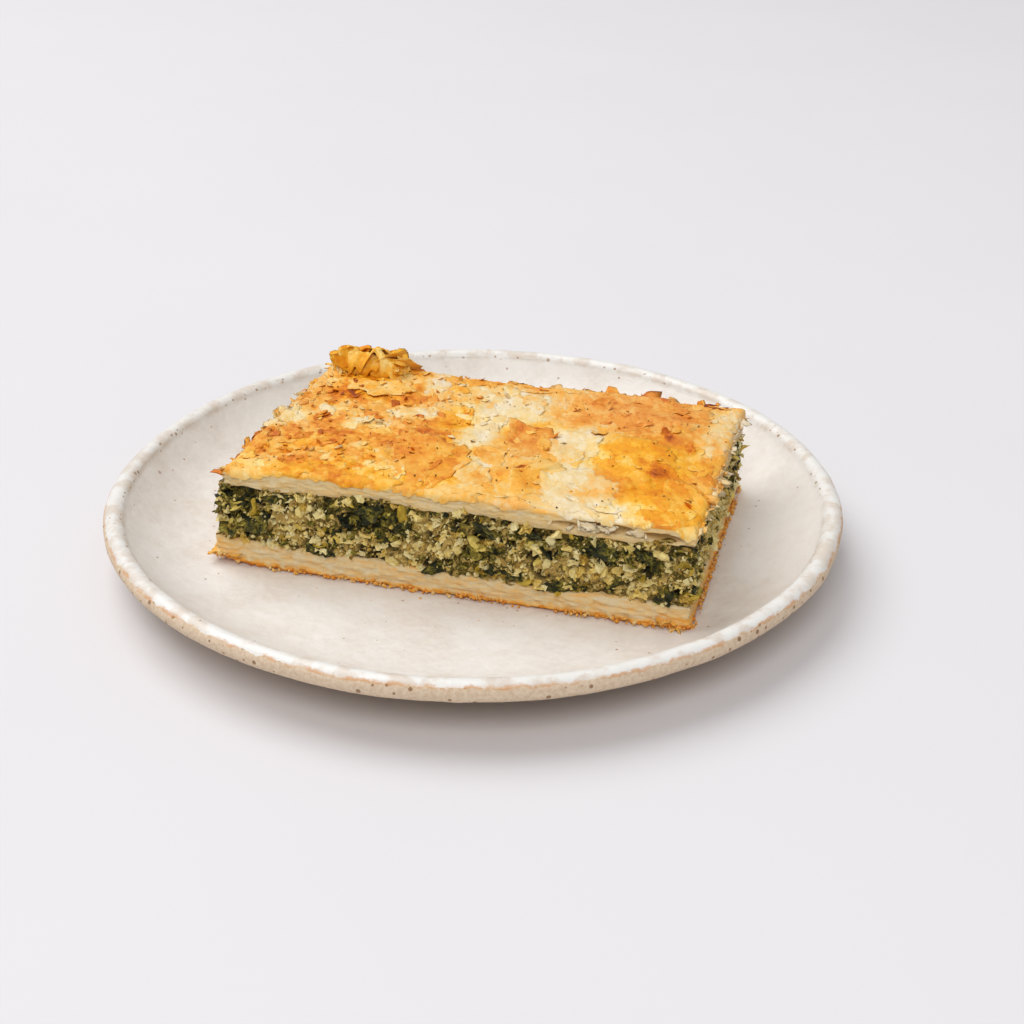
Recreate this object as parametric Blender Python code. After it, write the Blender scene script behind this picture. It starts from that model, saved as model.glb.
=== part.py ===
"""A slice of spanakopita on a small stoneware plate, built in metres with +Z up.

The origin is the centre of the plate's flat foot, on the surface that it stands on. The slice's long
sides run along X, and its best cut face looks along -Y. From below, the pieces are the plate, the
bottom crust, the spinach and cheese filling, and the top crust with its curled-up corner.
"""

import math

import bmesh
import bpy
from mathutils import Vector, noise

# The plate: a low coupe plate with a thick round lip.
PLATE_RADIUS = 0.110
PLATE_HEIGHT = 0.0195
FOOT_RADIUS = 0.067
FOOT_BEVEL = 0.0012
LIP_RADIUS = 0.0031
LIP_START = math.radians(-42)
LIP_END = math.radians(160)
LIP_STEPS = 8
WELL_HEIGHT = 0.006
WELL_RADIUS = 0.080
WELL_RISE_POWER = 2.4
UNDERSIDE_POWER = 2.2
PLATE_SIDES = 64
RIM_WOBBLE = 0.0006
RIM_WOBBLE_FROM = 0.090

# The slice, as cut: its plan's edges, and the heights of its layers above the plate's well.
GAP = 0.0003
FRONT, BACK = -0.0447, 0.0440
BOTTOM_CRUST_ENDS = (-0.0660, 0.0742)
FILLING_ENDS = (-0.0655, 0.0737)
TOP_CRUST_ENDS = (-0.0615, 0.0744)
BOTTOM_CRUST_LEFT, BOTTOM_CRUST_RIGHT = 0.0078, 0.0068
FILLING_TOP_FRONT, FILLING_TOP_BACK = 0.0255, 0.0222
SLICE_TOP_FRONT, SLICE_TOP_BACK = 0.0312, 0.0285
EDGE_WAVE = 0.0006
EDGE_WAVELENGTH = 0.018
LAYER_WAVE = 0.0005
LAYER_WAVELENGTH = 0.030

# The bottom crust's left end has lifted off the plate.
LIFT_FROM, LIFT_LENGTH, LIFT_HEIGHT = -0.052, 0.014, 0.0024

# Where the top crust sags between lumps of filling or rides over one, and where steam has puffed it
# up: (x, y, radius, height).
LUMPS = (
    (0.038, -0.046, 0.014, -0.0016),
    (-0.001, -0.046, 0.008, -0.0014),
    (-0.019, -0.045, 0.013, 0.0016),
    (0.011, -0.045, 0.009, 0.0010),
    (0.069, -0.042, 0.009, 0.0010),
    (0.006, 0.046, 0.012, -0.0010),
)
PUFFS = ((0.030, -0.028, 0.028, 0.0016), (-0.018, -0.030, 0.026, 0.0010), (0.052, 0.020, 0.022, 0.0008))
TOP_EDGE_ROUND = 0.0022

# The sheets of the top crust that have curled up over the left end of the back edge.
CURL_ENDS = (-0.0585, -0.0335)
CURL_CENTRE_Y = 0.0395
CURL_HALF_DEPTH, CURL_RISE = 0.0044, 0.0066
CURL_THICKNESS = 0.0018
CURL_START, CURL_END = math.radians(-50), math.radians(195)
CURL_STEPS, CURL_SECTIONS = 14, 8
CURL_WAVE = 0.0011
CURL_WAVELENGTH = 0.008


def material(name, colour, roughness):
    """A non-metal with one colour, as linear red, green and blue."""
    made = bpy.data.materials.new(name)
    made.use_nodes = True
    shader = made.node_tree.nodes["Principled BSDF"]
    shader.inputs["Base Color"].default_value = (*colour, 1.0)
    shader.inputs["Roughness"].default_value = roughness
    shader.inputs["Metallic"].default_value = 0.0
    return made


def wave(x, y, wavelength, seed):
    """Gentle unevenness from about -1 to 1, different for each seed."""
    return 2.0 * noise.noise(Vector((x / wavelength, y / wavelength, 7.3 * seed)))


def add_object(name, mesh, finish):
    mesh.materials.append(finish)
    made = bpy.data.objects.new(name, mesh)
    bpy.context.scene.collection.objects.link(made)
    return made


# ---------------------------------------------------------------- plate


LIP_CENTRE = (PLATE_RADIUS - LIP_RADIUS, PLATE_HEIGHT - LIP_RADIUS)


def lip_point(angle):
    """Radius and height of the lip's round edge. Angle 0 is outermost, and 90 degrees the top."""
    return (
        LIP_CENTRE[0] + LIP_RADIUS * math.cos(angle),
        LIP_CENTRE[1] + LIP_RADIUS * math.sin(angle),
    )


def well_height(radius):
    """Height of the plate's upper face: flat in the well, then rising to the inside of the lip."""
    inner_radius, inner_height = lip_point(LIP_END)
    share = max(0.0, radius - WELL_RADIUS) / (inner_radius - WELL_RADIUS)
    return WELL_HEIGHT + (inner_height - WELL_HEIGHT) * share**WELL_RISE_POWER


def underside_height(radius):
    """Height of the plate's lower face, from the foot's edge to the outside of the lip."""
    outer_radius, outer_height = lip_point(LIP_START)
    share = (radius - FOOT_RADIUS) / (outer_radius - FOOT_RADIUS)
    return FOOT_BEVEL + (outer_height - FOOT_BEVEL) * share**UNDERSIDE_POWER


def plate_profile():
    """The outline that is turned: from the foot's edge, out under the rim, over the lip and into the well."""
    outline = [(FOOT_RADIUS - FOOT_BEVEL, 0.0)]
    outer_radius = lip_point(LIP_START)[0]
    under_steps = 6
    for step in range(under_steps):
        radius = FOOT_RADIUS + (outer_radius - FOOT_RADIUS) * step / under_steps
        outline.append((radius, underside_height(radius)))
    for step in range(LIP_STEPS + 1):
        outline.append(lip_point(LIP_START + (LIP_END - LIP_START) * step / LIP_STEPS))
    inner_radius = lip_point(LIP_END)[0]
    well_steps = 5
    for step in range(1, well_steps + 1):
        radius = inner_radius + (WELL_RADIUS - inner_radius) * step / well_steps
        outline.append((radius, well_height(radius)))
    return outline


def thrown(radius, height, turn):
    """A point of the turned outline, with the slight unevenness of a rim thrown by hand."""
    share = max(0.0, radius - RIM_WOBBLE_FROM) / (PLATE_RADIUS - RIM_WOBBLE_FROM)
    wobble = RIM_WOBBLE * share * (0.6 * math.sin(2.0 * turn - 0.6) + 0.4 * math.sin(5.0 * turn + 2.1))
    lift = 0.5 * RIM_WOBBLE * share * math.sin(3.0 * turn + 1.2)
    radius += wobble
    return radius * math.cos(turn), radius * math.sin(turn), height + lift


def build_plate(finish):
    """The outline turned about Z, closed by a flat foot and a flat well."""
    shape = bmesh.new()
    rings = []
    for radius, height in plate_profile():
        ring = []
        for side in range(PLATE_SIDES):
            turn = 2.0 * math.pi * side / PLATE_SIDES
            ring.append(shape.verts.new(thrown(radius, height, turn)))
        rings.append(ring)
    for lower, upper in zip(rings, rings[1:]):
        for side in range(PLATE_SIDES):
            after = (side + 1) % PLATE_SIDES
            shape.faces.new((lower[side], lower[after], upper[after], upper[side]))
    shape.faces.new(reversed(rings[0]))
    shape.faces.new(rings[-1])
    mesh = bpy.data.meshes.new("plate")
    shape.to_mesh(mesh)
    shape.free()
    mesh.shade_smooth()
    mesh.set_sharp_from_angle(angle=math.radians(50))
    return add_object("plate", mesh, finish)


# ---------------------------------------------------------------- layers of the slice


def sloped(y, front, back):
    """A height that changes evenly from the slice's front edge to its back edge."""
    return front + (back - front) * (y - FRONT) / (BACK - FRONT)


def bumps(x, y, places):
    """Sum of round swellings, each given as (x, y, radius, height)."""
    total = 0.0
    for centre_x, centre_y, radius, height in places:
        total += height * math.exp(-((x - centre_x) ** 2 + (y - centre_y) ** 2) / radius**2)
    return total


def left_lift(x):
    """How far the left end of the bottom crust has risen off the plate."""
    share = min(1.0, max(0.0, (LIFT_FROM - x) / LIFT_LENGTH))
    return LIFT_HEIGHT * share * share


def bottom_crust_under(x, y):
    return well_height(math.hypot(x, y)) + GAP + left_lift(x)


def bottom_crust_over(x, y):
    share = (x - BOTTOM_CRUST_ENDS[0]) / (BOTTOM_CRUST_ENDS[1] - BOTTOM_CRUST_ENDS[0])
    thickness = BOTTOM_CRUST_LEFT + (BOTTOM_CRUST_RIGHT - BOTTOM_CRUST_LEFT) * share
    uneven = LAYER_WAVE * wave(x, y, LAYER_WAVELENGTH, 1)
    return WELL_HEIGHT + thickness + uneven + 0.5 * left_lift(x)


def filling_over(x, y):
    uneven = LAYER_WAVE * wave(x, y, LAYER_WAVELENGTH, 2)
    level = sloped(y, FILLING_TOP_FRONT, FILLING_TOP_BACK)
    return WELL_HEIGHT + level + uneven + bumps(x, y, LUMPS) + 0.5 * bumps(x, y, PUFFS)


def top_crust_over(x, y):
    """The slice's upper face, which rounds over towards its four edges."""
    to_edge = min(x - TOP_CRUST_ENDS[0], TOP_CRUST_ENDS[1] - x, y - FRONT, BACK - y)
    inside = min(1.0, max(0.0, to_edge / TOP_EDGE_ROUND))
    rounded = TOP_EDGE_ROUND * 0.6 * (1.0 - math.sqrt(inside * (2.0 - inside)))
    uneven = LAYER_WAVE * wave(x, y, LAYER_WAVELENGTH, 3)
    level = sloped(y, SLICE_TOP_FRONT, SLICE_TOP_BACK)
    return WELL_HEIGHT + level + uneven + 0.5 * bumps(x, y, LUMPS) + bumps(x, y, PUFFS) - rounded


def spaced(low, high, steps, margin):
    """Values from low to high, with one extra line this far inside each end."""
    inner = [low + margin + (high - low - 2.0 * margin) * i / (steps - 2) for i in range(steps - 1)]
    return [low, *inner, high]


def build_layer(name, finish, ends, under, over, cells, rows=1, bulge=0.0, seed=0):
    """One layer of the slice: a slab between two uneven faces, with wavy sides that may bulge.

    cells is the number of cells along X and Y, rows the number of bands up each side, and bulge how
    far the sides stand out between the layer's upper and lower edges.
    """
    margin = TOP_EDGE_ROUND * 0.5
    xs = spaced(*ends, cells[0], margin)
    ys = spaced(FRONT, BACK, cells[1], margin)
    last_x, last_y = len(xs) - 1, len(ys) - 1

    def plan(i, j):
        """A grid point's x and y, with the outermost ones moved in or out along a wavy edge."""
        x, y = xs[i], ys[j]
        move_x = EDGE_WAVE * wave(y, x, EDGE_WAVELENGTH, seed)
        move_y = EDGE_WAVE * wave(x, y, EDGE_WAVELENGTH, seed + 10)
        x += move_x * (i in (0, last_x))
        y += move_y * (j in (0, last_y))
        return x, y

    shape = bmesh.new()

    def face_grid(height):
        grid = []
        for i in range(len(xs)):
            grid.append([])
            for j in range(len(ys)):
                x, y = plan(i, j)
                grid[i].append(shape.verts.new((x, y, height(x, y))))
        return grid

    lower, upper = face_grid(under), face_grid(over)
    for i in range(last_x):
        for j in range(last_y):
            shape.faces.new((upper[i][j], upper[i + 1][j], upper[i + 1][j + 1], upper[i][j + 1]))
            shape.faces.new((lower[i][j], lower[i][j + 1], lower[i + 1][j + 1], lower[i + 1][j]))
    around = [(i, 0) for i in range(last_x)]
    around += [(last_x, j) for j in range(last_y)]
    around += [(i, last_y) for i in range(last_x, 0, -1)]
    around += [(0, j) for j in range(last_y, 0, -1)]
    bands = [[lower[i][j] for i, j in around]]
    for row in range(1, rows):
        share = row / rows
        band = []
        for i, j in around:
            middle = lower[i][j].co.lerp(upper[i][j].co, share)
            away = Vector(((i == last_x) - (i == 0), (j == last_y) - (j == 0), 0.0)).normalized()
            uneven = 1.0 + 0.6 * wave(middle.x + middle.z, middle.y - middle.z, EDGE_WAVELENGTH, seed + 20)
            stand_out = bulge * math.sin(math.pi * share) * uneven
            band.append(shape.verts.new(middle + away * stand_out))
        bands.append(band)
    bands.append([upper[i][j] for i, j in around])
    for below, above in zip(bands, bands[1:]):
        for k in range(len(around)):
            after = (k + 1) % len(around)
            shape.faces.new((below[k], below[after], above[after], above[k]))
    mesh = bpy.data.meshes.new(name)
    shape.to_mesh(mesh)
    shape.free()
    return add_object(name, mesh, finish)


def build_curl(finish):
    """The curled sheets at the back left: an arched band whose foot is sunk in the top crust."""
    half = CURL_THICKNESS / 2.0
    base_z = WELL_HEIGHT + SLICE_TOP_BACK
    shape = bmesh.new()
    sections = []
    for section in range(CURL_SECTIONS + 1):
        share = section / CURL_SECTIONS
        x = CURL_ENDS[0] + (CURL_ENDS[1] - CURL_ENDS[0]) * share
        taper = 0.72 + 0.28 * math.sin(math.pi * min(1.0, 0.25 + share))
        loop = []
        for side in (1.0, -1.0):
            for step in range(CURL_STEPS + 1):
                part = step / CURL_STEPS if side > 0 else 1.0 - step / CURL_STEPS
                angle = CURL_START + (CURL_END - CURL_START) * part
                crumple = CURL_WAVE * wave(x, 0.01 * angle, CURL_WAVELENGTH, 5) * part
                depth = CURL_HALF_DEPTH + half * side + crumple
                rise = (CURL_RISE * taper + half * side + crumple) * (1.0 if angle > 0 else 0.5)
                y = CURL_CENTRE_Y + depth * math.cos(angle)
                z = base_z + rise * math.sin(angle)
                loop.append(shape.verts.new((x, y, z)))
        sections.append(loop)
    count = len(sections[0])
    for near, far in zip(sections, sections[1:]):
        for k in range(count):
            after = (k + 1) % count
            shape.faces.new((near[k], far[k], far[after], near[after]))
    shape.faces.new(sections[0])
    shape.faces.new(reversed(sections[-1]))
    bmesh.ops.recalc_face_normals(shape, faces=shape.faces)
    mesh = bpy.data.meshes.new("curl")
    shape.to_mesh(mesh)
    shape.free()
    curl = add_object("curl", mesh, finish)
    curl.hide_render = True
    curl.display_type = "WIRE"
    return curl


def main():
    for old in list(bpy.data.objects):
        bpy.data.objects.remove(old, do_unlink=True)
    glaze = material("speckled_glaze", (0.72, 0.66, 0.59), 0.35)
    pale_pastry = material("pale_pastry", (0.58, 0.40, 0.20), 0.75)
    spinach_and_cheese = material("spinach_and_cheese", (0.16, 0.14, 0.04), 0.55)
    golden_pastry = material("golden_pastry", (0.72, 0.36, 0.08), 0.55)

    build_plate(glaze)
    build_layer(
        "bottom_crust",
        pale_pastry,
        BOTTOM_CRUST_ENDS,
        bottom_crust_under,
        bottom_crust_over,
        cells=(20, 12),
        seed=1,
    )
    build_layer(
        "filling",
        spinach_and_cheese,
        FILLING_ENDS,
        lambda x, y: bottom_crust_over(x, y) + GAP,
        filling_over,
        cells=(24, 14),
        rows=4,
        bulge=0.0007,
        seed=2,
    )
    top_crust = build_layer(
        "top_crust",
        golden_pastry,
        TOP_CRUST_ENDS,
        lambda x, y: filling_over(x, y) + GAP,
        top_crust_over,
        cells=(28, 18),
        seed=3,
    )
    join = top_crust.modifiers.new("curl", "BOOLEAN")
    join.operation = "UNION"
    join.object = build_curl(golden_pastry)


main()
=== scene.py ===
import itertools
import math

import bpy
import numpy as np
from mathutils import Matrix, Vector
from mathutils.bvhtree import BVHTree


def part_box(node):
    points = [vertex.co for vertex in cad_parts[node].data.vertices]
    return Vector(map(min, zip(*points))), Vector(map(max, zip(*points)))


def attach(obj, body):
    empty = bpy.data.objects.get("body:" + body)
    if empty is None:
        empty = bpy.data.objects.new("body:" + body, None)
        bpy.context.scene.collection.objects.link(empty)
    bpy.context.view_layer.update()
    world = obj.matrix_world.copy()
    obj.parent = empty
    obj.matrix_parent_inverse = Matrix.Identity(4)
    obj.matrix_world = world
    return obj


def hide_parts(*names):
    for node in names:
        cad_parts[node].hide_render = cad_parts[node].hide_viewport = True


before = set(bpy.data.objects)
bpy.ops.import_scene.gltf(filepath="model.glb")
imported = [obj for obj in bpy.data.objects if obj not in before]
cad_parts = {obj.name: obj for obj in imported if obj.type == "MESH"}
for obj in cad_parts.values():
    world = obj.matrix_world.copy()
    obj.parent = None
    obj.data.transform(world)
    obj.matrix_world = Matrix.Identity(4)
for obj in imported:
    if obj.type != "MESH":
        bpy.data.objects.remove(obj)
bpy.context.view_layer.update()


# ---------------------------------------------------------------- the plate
# A small low plate, thrown by hand in stoneware clay and dipped in a cream glaze that iron specks
# show through. Its lip is thick and round. The glaze ends in a ragged line below the lip, and the
# outside and the foot are bare tan clay.

plate_low, plate_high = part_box("plate")
PLATE_RADIUS = (plate_high.x - plate_low.x + plate_high.y - plate_low.y) / 4
LIP_RADIUS = 0.0031
LIP_HEIGHT = 0.0195 - LIP_RADIUS
LIP_START, LIP_TOP, LIP_END = math.radians(-42), math.radians(90), math.radians(160)
FOOT_RADIUS, FOOT_BEVEL = 0.067, 0.0012
WELL_HEIGHT, WELL_RADIUS = 0.006, 0.080
SIDE_CURVE, WELL_CURVE = 2.2, 2.4  # powers that bend the outer side and the well upwards
RIM_WOBBLE, RIM_WOBBLE_FROM = 0.0006, 0.090
PLATE_SIDES = 256
GLAZE_ENDS_AT, LIP_EDGE_AT = math.radians(34), math.radians(140)
GLAZE_SAG = 0.0007  # how much lower the glaze ends at the front


def scattered(cells, seed):
    """A number from -1 to 1 for each whole-numbered point, the same on every run."""
    whole = cells.astype(np.int64).astype(np.uint64)
    mixed = whole[..., 0] * np.uint64(73856093) ^ whole[..., 1] * np.uint64(19349663)
    mixed = (mixed ^ whole[..., 2] * np.uint64(83492791)) + np.uint64(7919 * seed + 1)
    for step in (29, 32):
        mixed = mixed * np.uint64(0x9E3779B97F4A7C15)
        mixed = mixed ^ (mixed >> np.uint64(step))
    return (mixed >> np.uint64(40)).astype(float) / 2**23 - 1.0


def uneven(points, size, seed, octaves=1):
    """Smooth unevenness from about -1 to 1 at each point, with lumps about this size."""
    total, strength, weight = 0.0, 0.0, 1.0
    for octave in range(octaves):
        place = np.asarray(points, float) / size * 2.03**octave + 517.3 + 31.7 * octave
        cell = np.floor(place)
        part = place - cell
        part = part * part * (3.0 - 2.0 * part)
        for corner in itertools.product((0, 1), repeat=3):
            share = np.prod(np.where(corner, part, 1.0 - part), axis=-1)
            total = total + weight * share * scattered(cell + corner, seed + octave)
        strength += weight
        weight *= 0.55
    return 1.5 * total / strength


def eased(values, low, high):
    """0 below low, 1 above high, and a smooth change between. low may be above high."""
    share = np.clip((np.asarray(values, float) - low) / (high - low), 0.0, 1.0)
    return share * share * (3.0 - 2.0 * share)


def new_piece(name, points, faces, material, slot, **values):
    """A smooth mesh that rides on the one body. Each named value is one number for the whole piece,
    or for each of its equal lumps, or for each point."""
    mesh = bpy.data.meshes.new(name)
    mesh.from_pydata(np.asarray(points).tolist(), [], faces)
    mesh.shade_smooth()
    for value_name, numbers in values.items():
        per_point = np.repeat(numbers, len(mesh.vertices) // np.size(numbers))
        stored = mesh.attributes.new(value_name, "FLOAT", "POINT")
        stored.data.foreach_set("value", per_point.astype(np.float32))
    mesh.materials.append(material)
    piece = bpy.data.objects.new(name, mesh)
    bpy.context.scene.collection.objects.link(piece)
    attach(piece, "root")
    return piece


def feed(socket, value):
    """Links a socket from another one, or sets its value."""
    if isinstance(value, bpy.types.NodeSocket):
        socket.id_data.links.new(value, socket)
    else:
        socket.default_value = value


def add_node(kind, inputs, **settings):
    """A new node with these settings and inputs, in the tree of the sockets that feed it."""
    tree = next(v for v in inputs.values() if isinstance(v, bpy.types.NodeSocket)).id_data
    node = tree.nodes.new("ShaderNode" + kind)
    for setting, value in settings.items():
        setattr(node, setting, value)
    for socket, value in inputs.items():
        feed(node.inputs[socket], value)
    return node


def new_material(name):
    """A material, its node tree, its Principled shader, and each point's place on the object."""
    material = bpy.data.materials.new(name)
    material.use_nodes = True
    tree = material.node_tree
    place = tree.nodes.new("ShaderNodeTexCoord").outputs["Object"]
    return material, tree, tree.nodes["Principled BSDF"], place


def dress(shader, colour, roughness, height, strength, depth):
    """Gives the shader its colour, its roughness and its relief, depth metres deep."""
    bump = add_node("Bump", {"Height": height, "Strength": strength, "Distance": depth})
    feed(shader.inputs["Base Color"], colour)
    feed(shader.inputs["Roughness"], roughness)
    feed(shader.inputs["Normal"], bump.outputs["Normal"])


def stored_value(tree, name):
    """A value that the mesh holds at each point."""
    node = tree.nodes.new("ShaderNodeAttribute")
    node.attribute_name = name
    return node.outputs["Fac"]


def calculated(operation, *values):
    """The output of a Math node on these values or sockets."""
    return add_node("Math", dict(enumerate(values)), operation=operation).outputs[0]


def times(value, other):
    return calculated("MULTIPLY", value, other)


def plus(value, other):
    return calculated("ADD", value, other)


def scaled(value, by, more):
    """The value times by, plus more."""
    return calculated("MULTIPLY_ADD", value, by, more)


def mask_of(value, low, high):
    """0 below low, 1 above high, and a smooth change between. low may be above high."""
    inputs = {"Value": value, "From Min": low, "From Max": high}
    return add_node("MapRange", inputs, interpolation_type="SMOOTHSTEP").outputs["Result"]


def mixed_colour(share, low, high):
    inputs = {0: share, 6: low, 7: high}
    return add_node("Mix", inputs, data_type="RGBA").outputs[2]


def noise_of(place, size, detail=2.0, rough=0.5, distortion=0.0):
    """Noise around 0.5, with lumps about this size in metres."""
    inputs = {"Vector": place, "Scale": 1.0 / size, "Detail": detail, "Roughness": rough,
              "Distortion": distortion}
    return add_node("TexNoise", inputs).outputs["Fac"]


def paint(red, green, blue):
    """A colour named by its 0 to 255 screen values."""
    return (*(((v / 255 + 0.055) / 1.055) ** 2.4 if v > 10 else v / 3294.6
              for v in (red, green, blue)), 1.0)


def new_group(name, inputs, outputs):
    """A node group with these named sockets, and its input and output nodes."""
    tree = bpy.data.node_groups.new(name, "ShaderNodeTree")
    for direction, sockets in (("INPUT", inputs), ("OUTPUT", outputs)):
        for socket, kind in sockets.items():
            tree.interface.new_socket(socket, in_out=direction, socket_type="NodeSocket" + kind)
    return tree, tree.nodes.new("NodeGroupInput").outputs, tree.nodes.new("NodeGroupOutput")


def place_group(group, **inputs):
    """The outputs of a copy of the group, with these inputs."""
    return add_node("Group", inputs, node_tree=group).outputs


# Small round specks, each in its own cell: iron in the glaze, pepper on the pastry.
specks, given, result = new_group(
    "specks",
    {"Place": "Vector", "Spacing": "Float", "Radius": "Float", "Share": "Float"},
    {"Mask": "Float"},
)
cell_scale = calculated("DIVIDE", 1.0, given["Spacing"])
cells = add_node("TexVoronoi", {"Vector": given["Place"], "Scale": cell_scale})
chance = add_node("SeparateColor", {"Color": cells.outputs["Color"]}).outputs
reach = times(given["Radius"], cell_scale)
own_size = scaled(chance["Green"], 0.8, 0.4)
reach = times(reach, own_size)
distance = calculated("DIVIDE", cells.outputs["Distance"], reach)
kept = calculated("LESS_THAN", chance["Red"], given["Share"])
speck = times(mask_of(distance, 1.0, 0.6), kept)
feed(result.inputs["Mask"], speck)


def lip_point(angle):
    """Radius and height of the lip's round edge. Angle 0 is outermost, and 90 degrees the top."""
    return (
        PLATE_RADIUS - LIP_RADIUS + LIP_RADIUS * math.cos(angle),
        LIP_HEIGHT + LIP_RADIUS * math.sin(angle),
    )


def plate_outline():
    """The turned outline from the foot to the middle of the well, as radius, height pairs."""
    outer, outer_height = lip_point(LIP_START)
    inner, inner_height = lip_point(LIP_END)
    outline = [(r, 0.0) for r in np.linspace(0.010, FOOT_RADIUS - FOOT_BEVEL, 8)]
    for share in np.linspace(0.0, 1.0, 26, endpoint=False):
        outline.append((FOOT_RADIUS + (outer - FOOT_RADIUS) * share,
                        FOOT_BEVEL + (outer_height - FOOT_BEVEL) * share**SIDE_CURVE))
    outline += [lip_point(angle) for angle in np.linspace(LIP_START, LIP_END, 26)]
    for share in np.linspace(1.0, 0.0, 30)[1:]:
        outline.append((WELL_RADIUS + (inner - WELL_RADIUS) * share,
                        WELL_HEIGHT + (inner_height - WELL_HEIGHT) * share**WELL_CURVE))
    outline += [(r, WELL_HEIGHT) for r in np.linspace(WELL_RADIUS, 0.006, 22)[1:]]
    return np.array(outline)


outline = plate_outline()
turns = np.linspace(0.0, 2.0 * math.pi, PLATE_SIDES, endpoint=False)
radii, heights = (column[:, None] + 0.0 * turns for column in outline.T)
turn = turns + 0.0 * radii
rim_share = np.maximum(0.0, radii - RIM_WOBBLE_FROM) / (PLATE_RADIUS - RIM_WOBBLE_FROM)
sway = 0.6 * np.sin(2.0 * turn - 0.6) + 0.4 * np.sin(5.0 * turn + 2.1)
around = np.stack([radii * np.cos(turn), radii * np.sin(turn), heights], -1)
radii = radii + RIM_WOBBLE * rim_share * sway + 0.00022 * rim_share * uneven(around, 0.011, 1, 2)
heights = heights + 0.5 * RIM_WOBBLE * rim_share * np.sin(3.0 * turn + 1.2)
heights = heights + 0.00016 * rim_share * uneven(around, 0.009, 3, 2)
plate_points = np.stack([radii * np.cos(turn), radii * np.sin(turn), heights], -1).reshape(-1, 3)


def ring_faces(rows, columns):
    """Quads between rows of points that each close on themselves."""
    at = np.arange(rows * columns).reshape(rows, columns)
    after = np.roll(at, -1, axis=1)
    return np.stack([at[:-1], after[:-1], after[1:], at[1:]], -1).reshape(-1, 4).tolist()


plate_faces = ring_faces(len(outline), PLATE_SIDES)
plate_faces.append(list(range(PLATE_SIDES))[::-1])
plate_faces.append(list(range(len(plate_points) - PLATE_SIDES, len(plate_points))))

steps = np.linalg.norm(np.diff(outline, axis=0), axis=1)
along = np.concatenate([[0.0], np.cumsum(steps)])
glaze_ends, lip_edge, lip_crest = (
    along[np.argmin(np.linalg.norm(outline - lip_point(angle), axis=1))]
    for angle in (GLAZE_ENDS_AT, LIP_EDGE_AT, LIP_TOP))

IRON, DARK_IRON, SAND = paint(158, 112, 78), paint(158, 112, 70), paint(150, 116, 84)
glaze, tree, shader, place = new_material("speckled_glaze")
past_glaze = stored_value(tree, "past_glaze")
past_lip = stored_value(tree, "past_lip")
cloudy = mask_of(noise_of(place, 0.018, 4.0, 0.6), 0.36, 0.68)
grainy = mask_of(noise_of(place, 0.0022, 3.0, 0.65), 0.30, 0.75)
well = mixed_colour(cloudy, paint(228, 222, 215), paint(218, 208, 198))
slight_grain = times(grainy, 0.35)
well = mixed_colour(slight_grain, well, paint(236, 231, 225))
ragged = noise_of(place, 0.0045, 4.0, 0.62)
ragged = scaled(ragged, 0.0032, -0.0016)
from_crest = plus(calculated("ABSOLUTE", past_lip), ragged)
streaky = mask_of(noise_of(place, 0.007, 4.0, 0.6), 0.42, 0.62)
lip = mixed_colour(streaky, paint(230, 227, 222), paint(215, 203, 190))
surface = mixed_colour(mask_of(from_crest, 0.0052, 0.0030), well, lip)
speck_masks = []
for spacing, radius, kept_share, weight in (
    (0.0042, 0.00042, 0.75, 0.85), (0.0095, 0.00075, 0.7, 0.60), (0.0019, 0.0007, 0.55, 1.0),
):
    mask = place_group(specks, Place=place, Spacing=spacing, Radius=radius, Share=kept_share)
    speck_masks.append(times(mask["Mask"], weight))
small, large, edge_specks = speck_masks
surface = mixed_colour(calculated("MAXIMUM", small, large), surface, IRON)
from_edge = calculated("SUBTRACT", past_lip, lip_edge - lip_crest)
from_edge = calculated("ABSOLUTE", plus(from_edge, ragged))
edge_spots = times(edge_specks, mask_of(from_edge, 0.0011, 0.0004))
faint_spots = times(edge_spots, 0.75)
surface = mixed_colour(faint_spots, surface, DARK_IRON)
past_line = plus(past_glaze, ragged)
bare = mask_of(past_line, -0.00018, 0.00018)
sandy = noise_of(place, 0.0011, 4.0, 0.7)
sandy_mask = mask_of(sandy, 0.35, 0.7)
clay = mixed_colour(sandy_mask, paint(222, 200, 174), paint(204, 178, 148))
clay = mixed_colour(edge_specks, clay, SAND)
surface = mixed_colour(bare, surface, clay)
burnt_line = mask_of(calculated("ABSOLUTE", past_line), 0.0008, 0.00015)
patchy = mask_of(noise_of(place, 0.006, 3.0, 0.6), 0.40, 0.60)
burnt = times(times(burnt_line, patchy), 0.7)
surface = mixed_colour(burnt, surface, paint(206, 148, 92))
satin = scaled(grainy, 0.12, 0.34)
rough_clay = add_node("Mix", {0: bare, 2: satin, 3: 0.85}).outputs[0]
ripples = noise_of(place, 0.006, 3.0, 0.5)
pits = calculated("SUBTRACT", ripples, times(edge_spots, 0.35))
grit = scaled(bare, 0.5, 0.06)
pits = scaled(sandy, grit, pits)
dress(shader, surface, rough_clay, pits, 0.5, 0.0009)

plate = new_piece(
    "stoneware_plate", plate_points, plate_faces, glaze, "speckled_glaze",
    past_glaze=(glaze_ends - along)[:, None] + GLAZE_SAG * np.maximum(0.0, -np.sin(turn)),
    past_lip=along - lip_crest,
)
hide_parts("plate")


# ---------------------------------------------------------------- the bottom crust
# The sheets of pastry under the filling. They are pale where the knife cut them, and pressed into
# fine streaks. The face that lay on the baking tray is browned and crumbly. The left end has
# lifted off the plate.

WALL_SPACING = 0.00056
CAP_INSET = 0.004


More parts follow.
